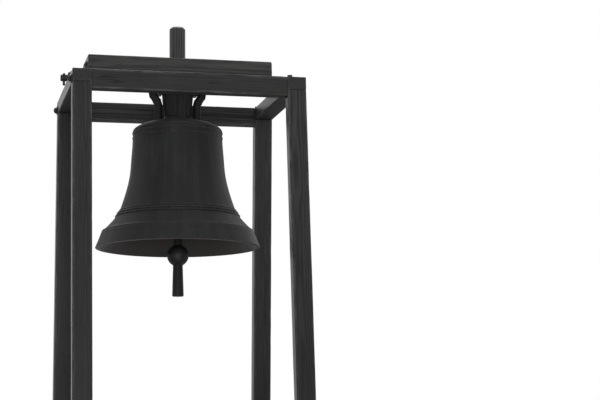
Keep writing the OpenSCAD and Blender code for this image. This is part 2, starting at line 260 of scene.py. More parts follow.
def darker(colour: Colour, share: float) -> Colour:
    """Return a share of a colour."""
    return tuple(share * c for c in colour)


@dataclass(frozen=True)
class TimberFinish:
    """Dark stained, weathered timber with rings, streaks, knots and drying checks, and with painted shade on
    its undersides and, where set, towards the ground.

    Heights are above the ground, and a pair holds the two ends of a smooth step. The relief is the
    strength and the depth of the bump.
    """

    name: str
    dark: Colour
    light: Colour
    worn: Colour
    rings_per_metre: float = 190.0
    # Painted shade low down: the share of colour left at the lower height, and the heights over which it sets
    # in
    low_shade_share: float = 1.0
    low_shade_height: Station = (1.2, 3.6)
    damp_height: Station = (0.02, 0.5)
    sway: Triple = (0.0, 0.022, 0.022)
    knot_cells: Triple = (2.1, 7.5, 7.5)
    knot_size: Station = (0.05, 0.15)
    check_width: Station = (0.002, 0.014)
    check_share: Station = (0.52, 0.66)
    wear_share: Station = (0.35, 0.7)
    gloss: float = 0.2
    rough: float = 0.18
    relief: Station = (0.32, 0.0022)

    def material(self) -> bpy.types.Material:
        """Build the finish from the attributes of the timbers.

        Returns:
            The material.
        """
        material, graph = new_material(self.name)
        grain = graph.attribute("grain", "Vector")
        bent = graph.vector("MULTIPLY_ADD", graph.cloud(grain, Pattern.SWAY, "Color"), self.sway, grain)
        radius = graph.vector("LENGTH", graph.vector("MULTIPLY", bent, (0.0, 1.0, 1.0)), output="Value")
        rings = (radius * (math.tau * self.rings_per_metre)).sine() * 0.5 + 0.5
        streak = graph.cloud(bent, Pattern.STREAK)
        fibre = graph.cloud(bent, Pattern.FIBRE)
        patch = graph.cloud(grain, Pattern.PATCH)
        cells = {"Vector": graph.vector("MULTIPLY", bent, self.knot_cells), "Scale": 1.0}
        knot = graph.node("ShaderNodeTexVoronoi", cells, "Distance").under(*self.knot_size)
        line = (graph.cloud(grain, Pattern.CHECK_LINE) - 0.5).size().under(*self.check_width)
        check = line * graph.cloud(grain, Pattern.CHECK_PLACE).over(*self.check_share)
        edge = graph.attribute("edge") * graph.cloud(grain, Pattern.EDGE_WEAR).over(*self.wear_share)
        # Painted shade: this mask darkens the faces that look down, and also makes them rougher
        under = graph.attribute("under")
        height = graph.part(graph.place(), "Z")
        damp = height.under(*self.damp_height) * patch
        tone = streak * 0.5 + rings * 0.2 + patch * 0.3
        colour = graph.mix(tone.over(0.3, 0.72), self.dark, self.light)
        # Painted light: the tone attribute makes lighter or darker copies of one finish, for how brightly
        # each timber is lit
        colour = graph.vector("MULTIPLY", colour, graph.attribute("tone"))
        colour = graph.mix(knot * 0.75, colour, darker(self.dark, 0.35))
        colour = graph.mix(check * 0.85, colour, darker(self.dark, 0.22))
        colour = graph.mix(edge * 0.55, colour, self.worn)
        # Painted shade: the timber darkens from the upper height down to the lower one
        if self.low_shade_share < 1.0:
            low_shaded_colour = graph.vector("MULTIPLY", colour, (self.low_shade_share, self.low_shade_share, self.low_shade_share))
            colour = graph.mix(height.under(*self.low_shade_height), colour, low_shaded_colour)
        colour = graph.mix(damp * 0.9, colour, darker(self.dark, 0.4))
        # painted shade on the faces that look down
        colour = graph.mix(under * 0.5, colour, darker(self.dark, 0.5))
        bumps = streak * 0.5 + fibre * 0.25 + rings * 0.2 - check * 1.6 - knot * 0.3
        graph.surface({
            "Base Color": colour,
            "Roughness": streak * 0.24 + patch * 0.12 + check * 0.3 + under * 0.4 + self.rough,
            "Specular IOR Level": self.gloss,
            "Normal": graph.bump(bumps, *self.relief),
        })
        return material


@dataclass(frozen=True)
class BronzeFinish:
    """Cast bronze under a dark skin, with stains that run down and rubbed mouldings."""

    name: str
    skin: Colour
    bloom: Colour
    inside: Colour
    rubbed: Colour
    dust: Colour
    runs_around: float = 9.0
    runs_along: float = 1.4
    metal: float = 0.12
    gloss: float = 0.17
    rough: float = 0.43
    relief: Station = (0.2, 0.0016)

    def material(self) -> bpy.types.Material:
        """Build the finish from object coordinates and the bell's own attributes.

        Returns:
            The material.
        """
        material, graph = new_material(self.name)
        place = graph.place()
        x, y, z = (graph.part(place, axis) for axis in "XYZ")
        wrapped = graph.node("ShaderNodeCombineXYZ", {
            "X": y.turn_from(x) * self.runs_around, "Y": z * self.runs_along})
        runs = graph.cloud(wrapped, Pattern.RUNS)
        clouds = graph.cloud(place, Pattern.CLOUDS)
        cast = graph.cloud(place, Pattern.CAST_SKIN)
        pits = graph.cloud(place, Pattern.CAST_PITS)
        stain = (runs * 0.6 + clouds * 0.4).over(0.46, 0.66)
        settled = graph.attribute("dust") * (clouds * 0.5 + runs * 0.5)
        inner = graph.attribute("inside") * (clouds * 0.5 + 0.45)
        rub = graph.attribute("edge") * pits.over(0.36, 0.62)
        colour = graph.mix(stain * 0.8, self.skin, self.bloom)
        colour = graph.mix(pits.over(0.6, 0.74) * 0.5, colour, darker(self.skin, 0.4))
        colour = graph.mix(settled * 0.62, colour, self.dust)
        colour = graph.mix(inner, colour, self.inside)
        colour = graph.mix(rub * 0.5, colour, self.rubbed)
        graph.surface({
            "Base Color": colour,
            "Metallic": self.metal,
            "Roughness": stain * 0.14 + pits * 0.14 - rub * 0.1 + self.rough,
            "Specular IOR Level": self.gloss,
            "Normal": graph.bump(cast * 0.5 + pits * 0.9 + runs * 0.3, *self.relief),
        })
        return material


@dataclass(frozen=True)
class IronFinish:
    """Dull iron, dark where it is painted or oiled and brown where rust comes through."""

    name: str
    paint: Colour
    rust: Colour
    rust_from: float
    rust_step: float = 0.12
    gloss: float = 0.25
    strike: float = 0.0
    bare: Colour = (0.11, 0.11, 0.11)
    strike_reach: Station = (0.05, 0.068)
    metal: float = 0.25
    rough: float = 0.4
    relief: Station = (0.3, 0.0015)

    def material(self) -> bpy.types.Material:
        """Build the finish from object coordinates, with bare metal at the front and back where it strikes.

        Returns:
            The material.
        """
        material, graph = new_material(self.name)
        place = graph.place()
        blotch = graph.cloud(place, Pattern.BLOTCH)
        hammer = graph.cloud(place, Pattern.HAMMER)
        pits = graph.cloud(place, Pattern.IRON_PITS)
        rusty = blotch.over(self.rust_from, self.rust_from + self.rust_step)
        colour = graph.mix(rusty * 0.85, self.paint, self.rust)
        colour = graph.mix(pits.over(0.6, 0.75) * 0.5, colour, darker(self.paint, 0.45))
        rough = rusty * 0.25 + hammer * 0.15 + self.rough
        if self.strike:
            reach = graph.part(place, "Y").size().over(*self.strike_reach)
            bright = reach * blotch.over(0.3, 0.55) * self.strike
            colour = graph.mix(bright, colour, self.bare)
            rough = rough - bright * 0.2
        graph.surface({
            "Base Color": colour,
            "Metallic": self.metal,
            "Roughness": rough,
            "Specular IOR Level": self.gloss,
            "Normal": graph.bump(hammer * 0.8 + pits * 0.35 + rusty * 0.4, *self.relief),
        })
        return material


class Finishes:
    """All finishes of the tower, built once."""

    def __init__(self) -> None:
        """Build the materials."""
        # The posts carry painted shade towards the ground.
        self.post = TimberFinish(
            "post_timber", (0.0145, 0.0144, 0.0142), (0.049, 0.0485, 0.0475), (0.15, 0.147, 0.14),
            low_shade_share=0.3).material()
        self.beam = TimberFinish(
            "beam_timber", (0.013, 0.0129, 0.0128), (0.0455, 0.045, 0.044), (0.17, 0.167, 0.16)).material()
        self.headstock = TimberFinish(
            "headstock_timber", (0.022, 0.0218, 0.0215), (0.071, 0.0704, 0.069), (0.18, 0.176, 0.17),
            rings_per_metre=150.0).material()
        self.bearing = IronFinish(
            "bearing_iron", (0.018, 0.018, 0.018), (0.055, 0.038, 0.027), 0.6).material()
        self.forged = IronFinish(
            "forged_iron", (0.022, 0.0216, 0.0212), (0.056, 0.039, 0.028), 0.57).material()
        self.clapper = IronFinish(
            "clapper_iron", (0.0165, 0.0162, 0.0162), (0.036, 0.028, 0.024), 0.6, gloss=0.16,
            strike=0.2).material()
        self.bronze = BronzeFinish(
            "bell_bronze", skin=(0.0152, 0.0154, 0.0154), bloom=(0.0312, 0.0327, 0.0336),
            inside=(0.034, 0.0268, 0.026), rubbed=(0.052, 0.0522, 0.051),
            dust=(0.052, 0.053, 0.055)).material()


def linked(name: str, data: bpy.types.ID) -> bpy.types.Object:
    """Return a new object of the scene.

    Args:
        name: The object's name.
        data: Its mesh, lamp or camera.

    Returns:
        The object, at the origin.
    """
    made = bpy.data.objects.new(name, data)
    bpy.context.scene.collection.objects.link(made)
    return made


def set_values(mesh: bpy.types.Mesh, name: str, values: np.ndarray) -> None:
    """Write a number or a vector for each point of a mesh as an attribute."""
    kind, entry = ("FLOAT_VECTOR", "vector") if values.ndim == 2 else ("FLOAT", "value")
    mesh.attributes.new(name, kind, "POINT").data.foreach_set(entry, values.astype(np.float32).ravel())


def read_points(mesh: bpy.types.Mesh, entry: str = "co") -> np.ndarray:
    """Read the points of a mesh.

    Args:
        mesh: The mesh.
        entry: The name for places, co, or for normals, normal.

    Returns:
        One row for each point.
    """
    found = np.empty(len(mesh.vertices) * 3, np.float32)
    mesh.vertices.foreach_get(entry, found)
    return found.reshape(-1, 3)


@contextmanager
def editing(mesh: bpy.types.Mesh, source: Optional[bpy.types.Mesh] = None) -> Iterator[bmesh.types.BMesh]:
    """Open a mesh for editing and write it back.

    Args:
        mesh: The mesh that is written.
        source: The mesh that the work starts from, or none for the same one.

    Returns:
        What opens the work mesh for the length of a with block.
    """
    work = bmesh.new()
    work.from_mesh(source or mesh)
    yield work
    work.to_mesh(mesh)
    work.free()


def add_bevel(holder: bpy.types.Object, width: float, angle_deg: float) -> None:
    """Round the edges over an angle, in two steps.

    Args:
        holder: The object that gets the modifier.
        width: Width of the bevel.
        angle_deg: Edges under this angle stay as they are.
    """
    rounding = holder.modifiers.new("bevel", "BEVEL")
    rounding.width, rounding.segments, rounding.limit_method = width, 2, "ANGLE"
    rounding.angle_limit = math.radians(angle_deg)


def applied(holder: bpy.types.Object, *helpers: bpy.types.Object) -> bpy.types.Mesh:
    """Turn an object with modifiers into a plain mesh.

    Args:
        holder: The object, removed afterwards with its mesh.
        helpers: Objects that its modifiers use, removed as well.

    Returns:
        The result.
    """
    evaluated = holder.evaluated_get(bpy.context.evaluated_depsgraph_get())
    result = bpy.data.meshes.new_from_object(evaluated)
    for used in (holder, *helpers):
        old = used.data
        bpy.data.objects.remove(used)
        bpy.data.meshes.remove(old)
    return result


def shown(name: str, mesh: bpy.types.Mesh, material: bpy.types.Material,
          sharp_deg: float = 35.0) -> bpy.types.Object:
    """Link a mesh to the scene with its finish and smooth shading.

    Args:
        name: The piece's name.
        mesh: Its mesh, in place.
        material: Its finish.
        sharp_deg: Edges over this angle stay sharp.

    Returns:
        The object, at the origin.
    """
    mesh.shade_smooth()
    mesh.set_sharp_from_angle(angle=math.radians(sharp_deg))
    mesh.materials.clear()
    mesh.materials.append(material)
    return linked(name, mesh)


def settle(piece: bpy.types.Object, body: Body, slot: Slot, *nodes: str) -> None:
    """Give a finished piece its body and hide the nodes that it stands for.

    Args:
        piece: The piece, at the origin.
        body: What it moves with.
        slot: The slot of its finish; not used.
        nodes: The construction nodes that it replaces.
    """
    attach(piece, body.value)
    if nodes:
        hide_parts(*nodes)
    LOG.info("%s: %d faces, rides on %s", piece.name, len(piece.data.polygons), body.value)


@dataclass
class Shell:
    """Points, faces and point attributes of a mesh that is being built."""

    points: np.ndarray
    faces: List[Tuple[int, ...]]
    values: Dict[str, np.ndarray]
    merge: float = 1e-6

    def joined(self, other: "Shell") -> "Shell":
        """Join two shells.

        Args:
            other: The shell that comes second.

        Returns:
            Both as one, with the attributes that they share.
        """
        shift = len(self.points)
        faces = self.faces + [tuple(i + shift for i in face) for face in other.faces]
        shared = [key for key in self.values if key in other.values]
        values = {key: np.concatenate([self.values[key], other.values[key]]) for key in shared}
        return Shell(np.concatenate([self.points, other.points]), faces, values)

    def piece(self, name: str, material: bpy.types.Material, sharp_deg: float = 35.0) -> bpy.types.Object:
        """Make the shell a mesh object.

        Args:
            name: The piece's name.
            material: Its finish.
            sharp_deg: Edges over this angle stay sharp.

        Returns:
            The object, at the origin.
        """
        mesh = bpy.data.meshes.new(name)
        mesh.from_pydata(self.points.tolist(), [], self.faces)
        for key, value in self.values.items():
            set_values(mesh, key, value)
        with editing(mesh) as work:
            bmesh.ops.remove_doubles(work, verts=work.verts, dist=self.merge)
            bmesh.ops.recalc_face_normals(work, faces=work.faces)
        return shown(name, mesh, material, sharp_deg)


def loft(rings: np.ndarray, capped: bool = True) -> List[Tuple[int, ...]]:
    """Join rings of equal length.

    Args:
        rings: The rings, by place and then by point.
        capped: Closes both ends.

    Returns:
        The faces.
    """
    count, width = rings.shape[:2]
    faces = []
    for near in range(0, (count - 1) * width, width):
        far = near + width
        for j in range(width):
            k = (j + 1) % width
            faces.append((near + j, near + k, far + k, far + j))
    if capped:
        faces += [tuple(reversed(range(width))), tuple(range((count - 1) * width, count * width))]
    return faces


def revolve(profile: np.ndarray, segments: int, values: Optional[Dict[str, np.ndarray]] = None) -> Shell:
    """Turn a profile about the Z axis.

    Args:
        profile: Radius and height of each point.
        segments: Steps around.
        values: Attributes of the profile's points.

    Returns:
        The shell, with poles where the radius is 0.
    """
    turn = np.linspace(0.0, math.tau, segments, endpoint=False)
    rings = np.empty((len(profile), segments, 3))
    rings[:, :, 0] = profile[:, :1] * np.cos(turn)
    rings[:, :, 1] = profile[:, :1] * np.sin(turn)
    rings[:, :, 2] = profile[:, 1:2]
    spread = {key: np.repeat(value, segments) for key, value in (values or {}).items()}
    return Shell(rings.reshape(-1, 3), loft(rings, False), spread)


def rounded_ring(half_a: float, half_b: float, radii: Sequence[float], arcs: int = 4, flats: int = 7,
                 rim: float = 0.012) -> Tuple[np.ndarray, np.ndarray, np.ndarray]:
    """Draw a rectangle with rounded corners.

    Args:
        half_a: Half its first side.
        half_b: Half its second side.
        radii: Radius of each corner.
        arcs: Steps around a corner.
        flats: Points between two corners.
        rim: Distance from a corner over which the edge fades out.

    Returns:
        The points, their outward normals and how near each is to an edge, from 0 to 1.
    """
    corners = []
    for k, (side_a, side_b) in enumerate(((1, 1), (-1, 1), (-1, -1), (1, -1))):
        centre = np.array([side_a * (half_a - radii[k]), side_b * (half_b - radii[k])])
        angles = math.pi / 2 * (k + np.arange(arcs + 1) / arcs)
        out = np.column_stack([np.cos(angles), np.sin(angles)])
        corners.append((centre + radii[k] * out, out))
    points, normals, edges = [], [], []
    for k, (arc, out) in enumerate(corners):
        points.extend(arc)
        normals.extend(out)
        edges.extend([1.0] * len(arc))
        following = corners[(k + 1) % 4][0][0]
        run = float(np.linalg.norm(following - arc[-1]))
        for share in np.arange(1, flats + 1) / (flats + 1):
            points.append(arc[-1] * (1 - share) + following * share)
            normals.append(out[-1])
            edges.append(max(0.0, 1.0 - min(share, 1 - share) * run / rim))
    return np.array(points), np.array(normals), np.array(edges)


def waver(x: float, y: float, z: float) -> float:
    """Return smooth noise between about -1 and 1."""
    return noise.noise(Vector((x, y, z)))


@dataclass
class TimberCutter:
    """Cuts worn timbers: stacks of rounded sections, eased and hollowed inward only.

    The patterns of wear repeat a number of times in a metre, along the timber and across it. The odd
    numbers beside a corner or a seed keep the corners and the timbers from sharing a pattern.
    """

    ease: float = 0.004
    wear: float = 0.0014
    step: float = 0.035
    end_ease: float = 0.0018
    end_share: float = 0.8
    grain_step: float = 4.37
    round_scale: float = 2.3
    round_share: float = 0.45
    chip_scale: float = 7.0
    chip_from: float = 0.42
    chip_depth: float = 0.022
    rough_scale: Station = (4.0, 24.0)
    ripple_scale: Station = (19.0, 40.0)

    def stations(self, start: float, end: float) -> List[float]:
        """Return places along a timber, with a close one at each end."""
        count = max(4, int((end - start) / self.step))
        return [start, *np.linspace(start + self.end_ease, end - self.end_ease, count).tolist(), end]

    def corner(self, place: float, corner: int, seed: int) -> float:
        """Work out how round a corner is.

        Args:
            place: The place along the timber.
            corner: The number of the corner.
            seed: The timber's seed.

        Returns:
            The corner's radius, larger where it is chipped.
        """
        wave = waver(place * self.round_scale, corner * 5.7, seed * 3.1)
        chip = waver(place * self.chip_scale, corner * 9.1, seed * 1.7) - self.chip_from
        return self.ease * (1.0 + self.round_share * wave) + max(0.0, chip) * self.chip_depth

    def hollow(self, place: float, a: float, b: float, seed: int) -> float:
        """Work out how far the surface is worn.

        Args:
            place: The place along the timber.
            a: The place along its first side.
            b: The place along its second side.
            seed: The timber's seed.

        Returns:
            The depth of the wear.
        """
        along, over = self.rough_scale
        rough = waver(place * along + seed * 5.3, a * over, b * over)
        along, over = self.ripple_scale
        ripple = waver(place * along, a * over + seed, b * over)
        return self.wear * (0.5 + 0.35 * rough + 0.15 * ripple)

    def cut(self, ends: Station, section: Callable[[float], Section], sides: Tuple[Vector, Vector],
            pith: Station, seed: int, tone: float = 1.0) -> Shell:
        """Cut one timber.

        Args:
            ends: Where it starts and ends.
            section: Gives the middle and the half sizes at a place.
            sides: The directions of its first side and its second side.
            pith: Offset of the tree's heart from its middle.
            seed: Sets its wear and its grain.
            tone: How light its timber is drawn beside the others, a painted light that stands for how
                brightly it is lit.

        Returns:
            The shell with grain, edge and tone attributes.
        """
        side, up = (np.array(way) for way in sides)
        rings, grain, edge = [], [], []
        for place in self.stations(*ends):
            middle, half_a, half_b = section(place)
            inset = self.end_ease if place in ends else 0.0
            radii = [self.corner(place, corner, seed) for corner in range(4)]
            for (a, b), (out_a, out_b), rim in zip(*rounded_ring(half_a - inset, half_b - inset, radii)):
                spot = np.array(middle) + a * side + b * up
                depth = self.hollow(place, float(spot @ side), float(spot @ up), seed)
                rings.append(spot - (out_a * side + out_b * up) * depth)
                grain.append((place + seed * self.grain_step, a + pith[0], b + pith[1]))
                edge.append(rim)
        count = len(self.stations(*ends))
        shape, fibres = (self.ended(np.array(rows).reshape(count, -1, 3)) for rows in (rings, grain))
        rims = np.pad(np.array(edge).reshape(count, -1), ((1, 1), (0, 0))).ravel()
        values = {"grain": fibres.reshape(-1, 3), "edge": rims, "tone": np.full(rims.size, tone)}
        return Shell(shape.reshape(-1, 3), loft(shape), values)

    def ended(self, rings: np.ndarray) -> np.ndarray:
        """Put a smaller ring inside each end, which carries the end face.

        Args:
            rings: The rings of a timber.

        Returns:
            All rings, from end to end.
        """
        share = self.end_share
        first, last = (ring.mean(axis=0) * (1 - share) + ring * share for ring in (rings[0], rings[-1]))
        return np.concatenate([first[None], rings, last[None]])

    @staticmethod
    def shaded(piece: bpy.types.Object) -> bpy.types.Object:
        """Mark how far each point of a timber faces down, where its finish paints shade and makes it rougher.

        Args:
            piece: The timber.

        Returns:
            The timber, with the attribute under.
        """
        down = -read_points(piece.data, "normal")[:, 2]
        set_values(piece.data, "under", np.clip(down, 0.0, 1.0))
        return piece


def pith_of(seed: int, reach: Station, turn: Station) -> Station:
    """Return the offset of a tree's heart from the middle of its timber."""
    return reach[0] * math.sin(seed * turn[0]), reach[1] * math.cos(seed * turn[1])


@dataclass
class Posts:
    """The four posts: upright from the front, leaned out to front and back."""

    finishes: Finishes
    cutter: TimberCutter
    depth: float = 0.0802
    pith_reach: Station = (0.035, 0.07)
    pith_turn: Station = (2.1, 1.3)
    seed: int = 11
    # Painted light: each post is a lighter or darker copy of the same timber, for how brightly it is lit
    tones_with_painted_light: Tuple[Tuple[str, float], ...] = (
        ("front_left_post", 0.8), ("front_right_post", 0.95), ("back_left_post", 0.58),
        ("back_right_post", 1.0))

    def section(self, name: str) -> Callable[[float], Section]:
        """Follow a post's lean.

        Args:
            name: The post's node.

        Returns:
            What gives the level section at a height.
        """
        low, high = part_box(name)
        outward = -1.0 if name.startswith("front") else 1.0
        head = high.y - self.depth / 2 if outward < 0 else low.y + self.depth / 2
        lean = outward * (high.y - low.y - self.depth) / (high.z - low.z)

        def level(z: float) -> Section:
            """Return the section at a height."""
            middle = Vector(((low.x + high.x) / 2, head + lean * (high.z - z), z))
            return middle, (high.x - low.x) / 2, self.depth / 2

        return level

    def build(self) -> None:
        """Cut each post as level sections that move outward to the foot."""
        for seed, (name, tone) in enumerate(self.tones_with_painted_light, self.seed):
            low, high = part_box(name)
            pith = pith_of(seed, self.pith_reach, self.pith_turn)
            shell = self.cutter.cut((low.z, high.z), self.section(name), (ACROSS, BACK), pith, seed, tone)
            piece = self.cutter.shaded(shell.piece(name + "_timber", self.finishes.post))
            settle(piece, Body.TOWER, Slot.POST, name)


@dataclass
class TopFrame:
    """The frame of four beams on the posts."""

    finishes: Finishes
    cutter: TimberCutter
    pith_reach: Station = (0.05, 0.06)
    pith_turn: Station = (1.7, 2.3)
    seed: int = 31
    along_x: Tuple[str, ...] = ("front_beam", "back_beam")
    # Painted light: the front beam is a darker copy and the back beam a lighter one; the back beam's tone
    # offsets the shade that the headstock and the bell cast on it
    tones_with_painted_light: Tuple[Tuple[str, float], ...] = (
        ("front_beam", 0.83), ("back_beam", 1.45), ("left_side_beam", 1.0), ("right_side_beam", 1.0))

    def cut(self, name: str, seed: int, tone: float) -> Shell:
        """Cut a beam from the box of its node.

        Args:
            name: The beam's node.
            seed: The beam's seed.
            tone: How light its timber is drawn, a painted light that stands for how brightly it is lit.

        Returns:
            The beam.
        """
        low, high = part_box(name)
        along, side = (0, 1) if name in self.along_x else (1, 0)
        middle, half = (low + high) / 2, (high - low) / 2

        def section(place: float) -> Section:
            """Return the section at a place along the beam."""
            spot = Vector([place if axis == along else middle[axis] for axis in range(3)])
            return spot, half[side], half.z

        pith = pith_of(seed, self.pith_reach, self.pith_turn)
        sides = ((ACROSS, BACK)[side], UP)
        return self.cutter.cut((low[along], high[along]), section, sides, pith, seed, tone)

    def build(self) -> None:
        """Cut the beams."""
        for seed, (name, tone) in enumerate(self.tones_with_painted_light, self.seed):
            piece = self.cut(name, seed, tone).piece(name + "_timber", self.finishes.beam)
            settle(self.cutter.shaded(piece), Body.TOWER, Slot.BEAM, name)


@dataclass(frozen=True)
class HangerRods:
    """Where the hangers' rods come up through the headstock, and the plates that they pass through.

    The rods stand out from the bell's axis, and apart from the middle of their hanger.
    """

    out: float = 0.117
    apart: float = 0.042
    plate_half_l: float = 0.066
    plate_half_w: float = 0.024


@dataclass
class Headstock:
    """The heavy swinging timber with its notch for the crown, and the round post on top of it.

    Blocks cut the notch and the pockets for the hanger plates. The post is shaved in facets, which follow
    noise that is scaled around it and along it.
    """

    finishes: Finishes
    cutter: TimberCutter
    rods: HangerRods = HangerRods()
    notch_half: float = 0.230
    notch_top: float = 3.852
    pocket_gap: float = 0.004
    block_h: float = 0.2
    block_w: float = 1.0
    cut_ease: float = 0.002
    cut_angle: float = 62.0
    ease: float = 0.009
    end_ease: float = 0.006
    wear_share: float = 1.4
    worn_reach: float = 0.016
    worn_peak: float = 1.25
    seed: int = 47
    pith: Station = (0.02, -0.05)
    post_seat: float = 0.036
    post_chamfer: float = 0.012
    post_rim: float = 0.6
    post_facets: Station = (2.5, 5.0)
    post_wear: float = 0.012
    post_pith: Triple = (61.0, 0.008, -0.006)
    post_tone: float = 1.1
    post_steps: int = 26
    post_segments: int = 56
    post_sharp: float = 40.0

    def build(self) -> None:
        """Cut the headstock and turn its post."""
        low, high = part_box("headstock")
        half_y, half_z = (high.y - low.y) / 2, (high.z - low.z) / 2

        def section(place: float) -> Section:
            """Return the section at a place along the headstock."""
            return Vector((place, 0.0, (low.z + high.z) / 2)), half_y, half_z

        heavy = TimberCutter(self.ease, self.cutter.wear * self.wear_share, end_ease=self.end_ease)
        shell = heavy.cut((low.x, high.x), section, (BACK, UP), self.pith, self.seed)
        mesh = self.cut_out(shell.piece("headstock_rough", self.finishes.headstock))
        self.regrain(mesh)
        timber = heavy.shaded(shown("headstock_timber", mesh, self.finishes.headstock))
        settle(timber, Body.SWING, Slot.HEADSTOCK, "headstock")
        settle(heavy.shaded(self.post()), Body.SWING, Slot.HEADSTOCK, "headstock_post")

    def cut_out(self, timber: bpy.types.Object) -> bpy.types.Mesh:
        """Cut the notch for the crown and the four pockets for the hanger plates.

        Args:
            timber: The plain headstock, removed afterwards.

        Returns:
            The headstock's mesh.
        """
        half_h = self.block_h / 2
        pocket_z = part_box("hanger_plates")[0].z
        plate = (self.rods.plate_half_w, self.rods.plate_half_l)
        plate_w, plate_l = (2 * (half + self.pocket_gap) for half in plate)
        notch = Matrix.Translation((0.0, 0.0, self.notch_top - half_h))
        notch @= Matrix.Diagonal((2 * self.notch_half, self.block_w, self.block_h, 1.0))
        pocket = Matrix.Translation((self.rods.out, 0.0, pocket_z + half_h))
        pocket @= Matrix.Diagonal((plate_w, plate_l, self.block_h, 1.0))
        quarters = [Matrix.Rotation(turn * math.pi / 2, 4, "Z") for turn in range(4)]
        mesh = bpy.data.meshes.new("cuts")
        with editing(mesh) as work:
            for block in (notch, *(quarter @ pocket for quarter in quarters)):
                bmesh.ops.create_cube(work, size=1.0, matrix=block)
        blocks = linked("cuts", mesh)
        cut = timber.modifiers.new("cuts", "BOOLEAN")
        cut.operation, cut.solver, cut.object = "DIFFERENCE", "EXACT", blocks
        add_bevel(timber, self.cut_ease, self.cut_angle)
        return applied(timber, blocks)

    def regrain(self, mesh: bpy.types.Mesh) -> None:
        """Write the attributes of the timber again, for the faces that the cuts have laid open.

        Args:
            mesh: The headstock's mesh.
        """
        low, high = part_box("headstock")
        for key in ("grain", "edge", "tone"):
            if key in mesh.attributes:
                mesh.attributes.remove(mesh.attributes[key])
        x, y, z = read_points(mesh).T
        level = z - (low.z + high.z) / 2
        bottom = np.where(np.abs(x) < self.notch_half, self.notch_top, low.z)
        away = np.hypot(high.y - np.abs(y), np.minimum(high.z - z, np.abs(z - bottom)))
        along = x + self.seed * self.cutter.grain_step
        set_values(mesh, "grain", np.column_stack([along, y + self.pith[0], level + self.pith[1]]))
        set_values(mesh, "edge", np.clip(self.worn_peak - away / self.worn_reach, 0.0, 1.0))
        set_values(mesh, "tone", np.ones(len(x)))

    def post(self) -> bpy.types.Object:
        """Turn the round post, shaved by hand and chamfered around its top.

        Returns:
            The post.
        """
        low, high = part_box("headstock_post")
        radius, chamfer = (high.x - low.x) / 2, self.post_chamfer
        levels = np.linspace(low.z + self.post_seat, high.z - chamfer, self.post_steps)
        profile = [(radius, z) for z in levels]
        profile += [(radius - chamfer * t, high.z - chamfer * (1 - t)) for t in (0.25, 0.5, 0.75, 1.0)]
        profile += [((radius - chamfer) * t, high.z) for t in (0.75, 0.5, 0.25, 0.0)]
        shell = revolve(np.array(profile), self.post_segments)
        around, along = self.post_facets
        for index, (x, y, z) in enumerate(shell.points):
            turn = math.atan2(y, x)
            facet = waver(math.cos(turn) * around, math.sin(turn) * around, z * along)
            if z < high.z - shell.merge:
                shell.points[index, :2] *= 1.0 - self.post_wear * (0.5 + 0.5 * facet)
        grain = shell.points[:, [2, 0, 1]] + np.array(self.post_pith)
        rim = [float(abs(z - high.z) < chamfer and r > radius * self.post_rim) for r, z in profile]
        shell.values = {"grain": grain, "edge": np.repeat(rim, self.post_segments),
                        "tone": np.full(len(grain), self.post_tone)}
        return shell.piece("headstock_post_timber", self.finishes.headstock, self.post_sharp)


class GeometryGraph(Graph):
    """A geometry node tree that is built in the script, with named inputs."""

    def __init__(self, name: str, inputs: Dict[str, str]) -> None:
        """Start a tree.

        Args:
            name: The tree's name.
            inputs: The socket type of each input between the geometry and the material, by name.
        """
        super().__init__(bpy.data.node_groups.new(name, "GeometryNodeTree"))
        sockets = {"Geometry": "NodeSocketGeometry", **inputs, "Material": "NodeSocketMaterial"}
        for label, kind in sockets.items():
            self.tree.interface.new_socket(label, in_out="INPUT", socket_type=kind)
        self.tree.interface.new_socket("Geometry", in_out="OUTPUT", socket_type="NodeSocketGeometry")
        self.entry = self.tree.nodes.new("NodeGroupInput")

    def given(self, label: str) -> Wire:
        """Return one of the tree's inputs."""
        return Wire(self, self.entry.outputs[label])

    def turned(self, angle: Wire) -> Wire:
        """Return a rotation about the Z axis."""
        return self.node("FunctionNodeAxisAngleToRotation", {"Axis": tuple(UP), "Angle": angle})

    def copies(self, points: Wire, instance: Wire, rotation: Wire) -> Wire:
        """Return copies of a shape on points."""
        inputs = {"Points": points, "Instance": instance, "Rotation": rotation}
        return self.node("GeometryNodeInstanceOnPoints", inputs)

    def close(self, geometry: Wire) -> None:
        """End the tree in Realize Instances and Set Material.

        Args:
            geometry: What the tree has made.
        """
        real = self.node("GeometryNodeRealizeInstances", {"Geometry": geometry})
        dressed = self.node("GeometryNodeSetMaterial", {"Geometry": real, "Material": self.given("Material")})
        self.node("NodeGroupOutput", {"Geometry": dressed})

    def run(self, mesh: bpy.types.Mesh, values: Dict[str, object], bevel: float = 0.0,
            bevel_angle: float = 40.0) -> bpy.types.Mesh:
        """Run the tree on a mesh.

        Args:
            mesh: The points or the path that it starts from, removed afterwards.
            values: The inputs by name.
            bevel: Width of a bevel on sharp edges, or 0.
            bevel_angle: Edges over this angle are sharp, in degrees.

        Returns:
            The result as a plain mesh.
        """
        holder = linked(self.tree.name, mesh)
        modifier = holder.modifiers.new("nodes", "NODES")
        modifier.node_group = self.tree
        for item in self.tree.interface.items_tree:
            if item.item_type == "SOCKET" and item.in_out == "INPUT" and item.name in values:
                modifier[item.identifier] = values[item.name]
        if bevel:
            add_bevel(holder, bevel, bevel_angle)
        return applied(holder)


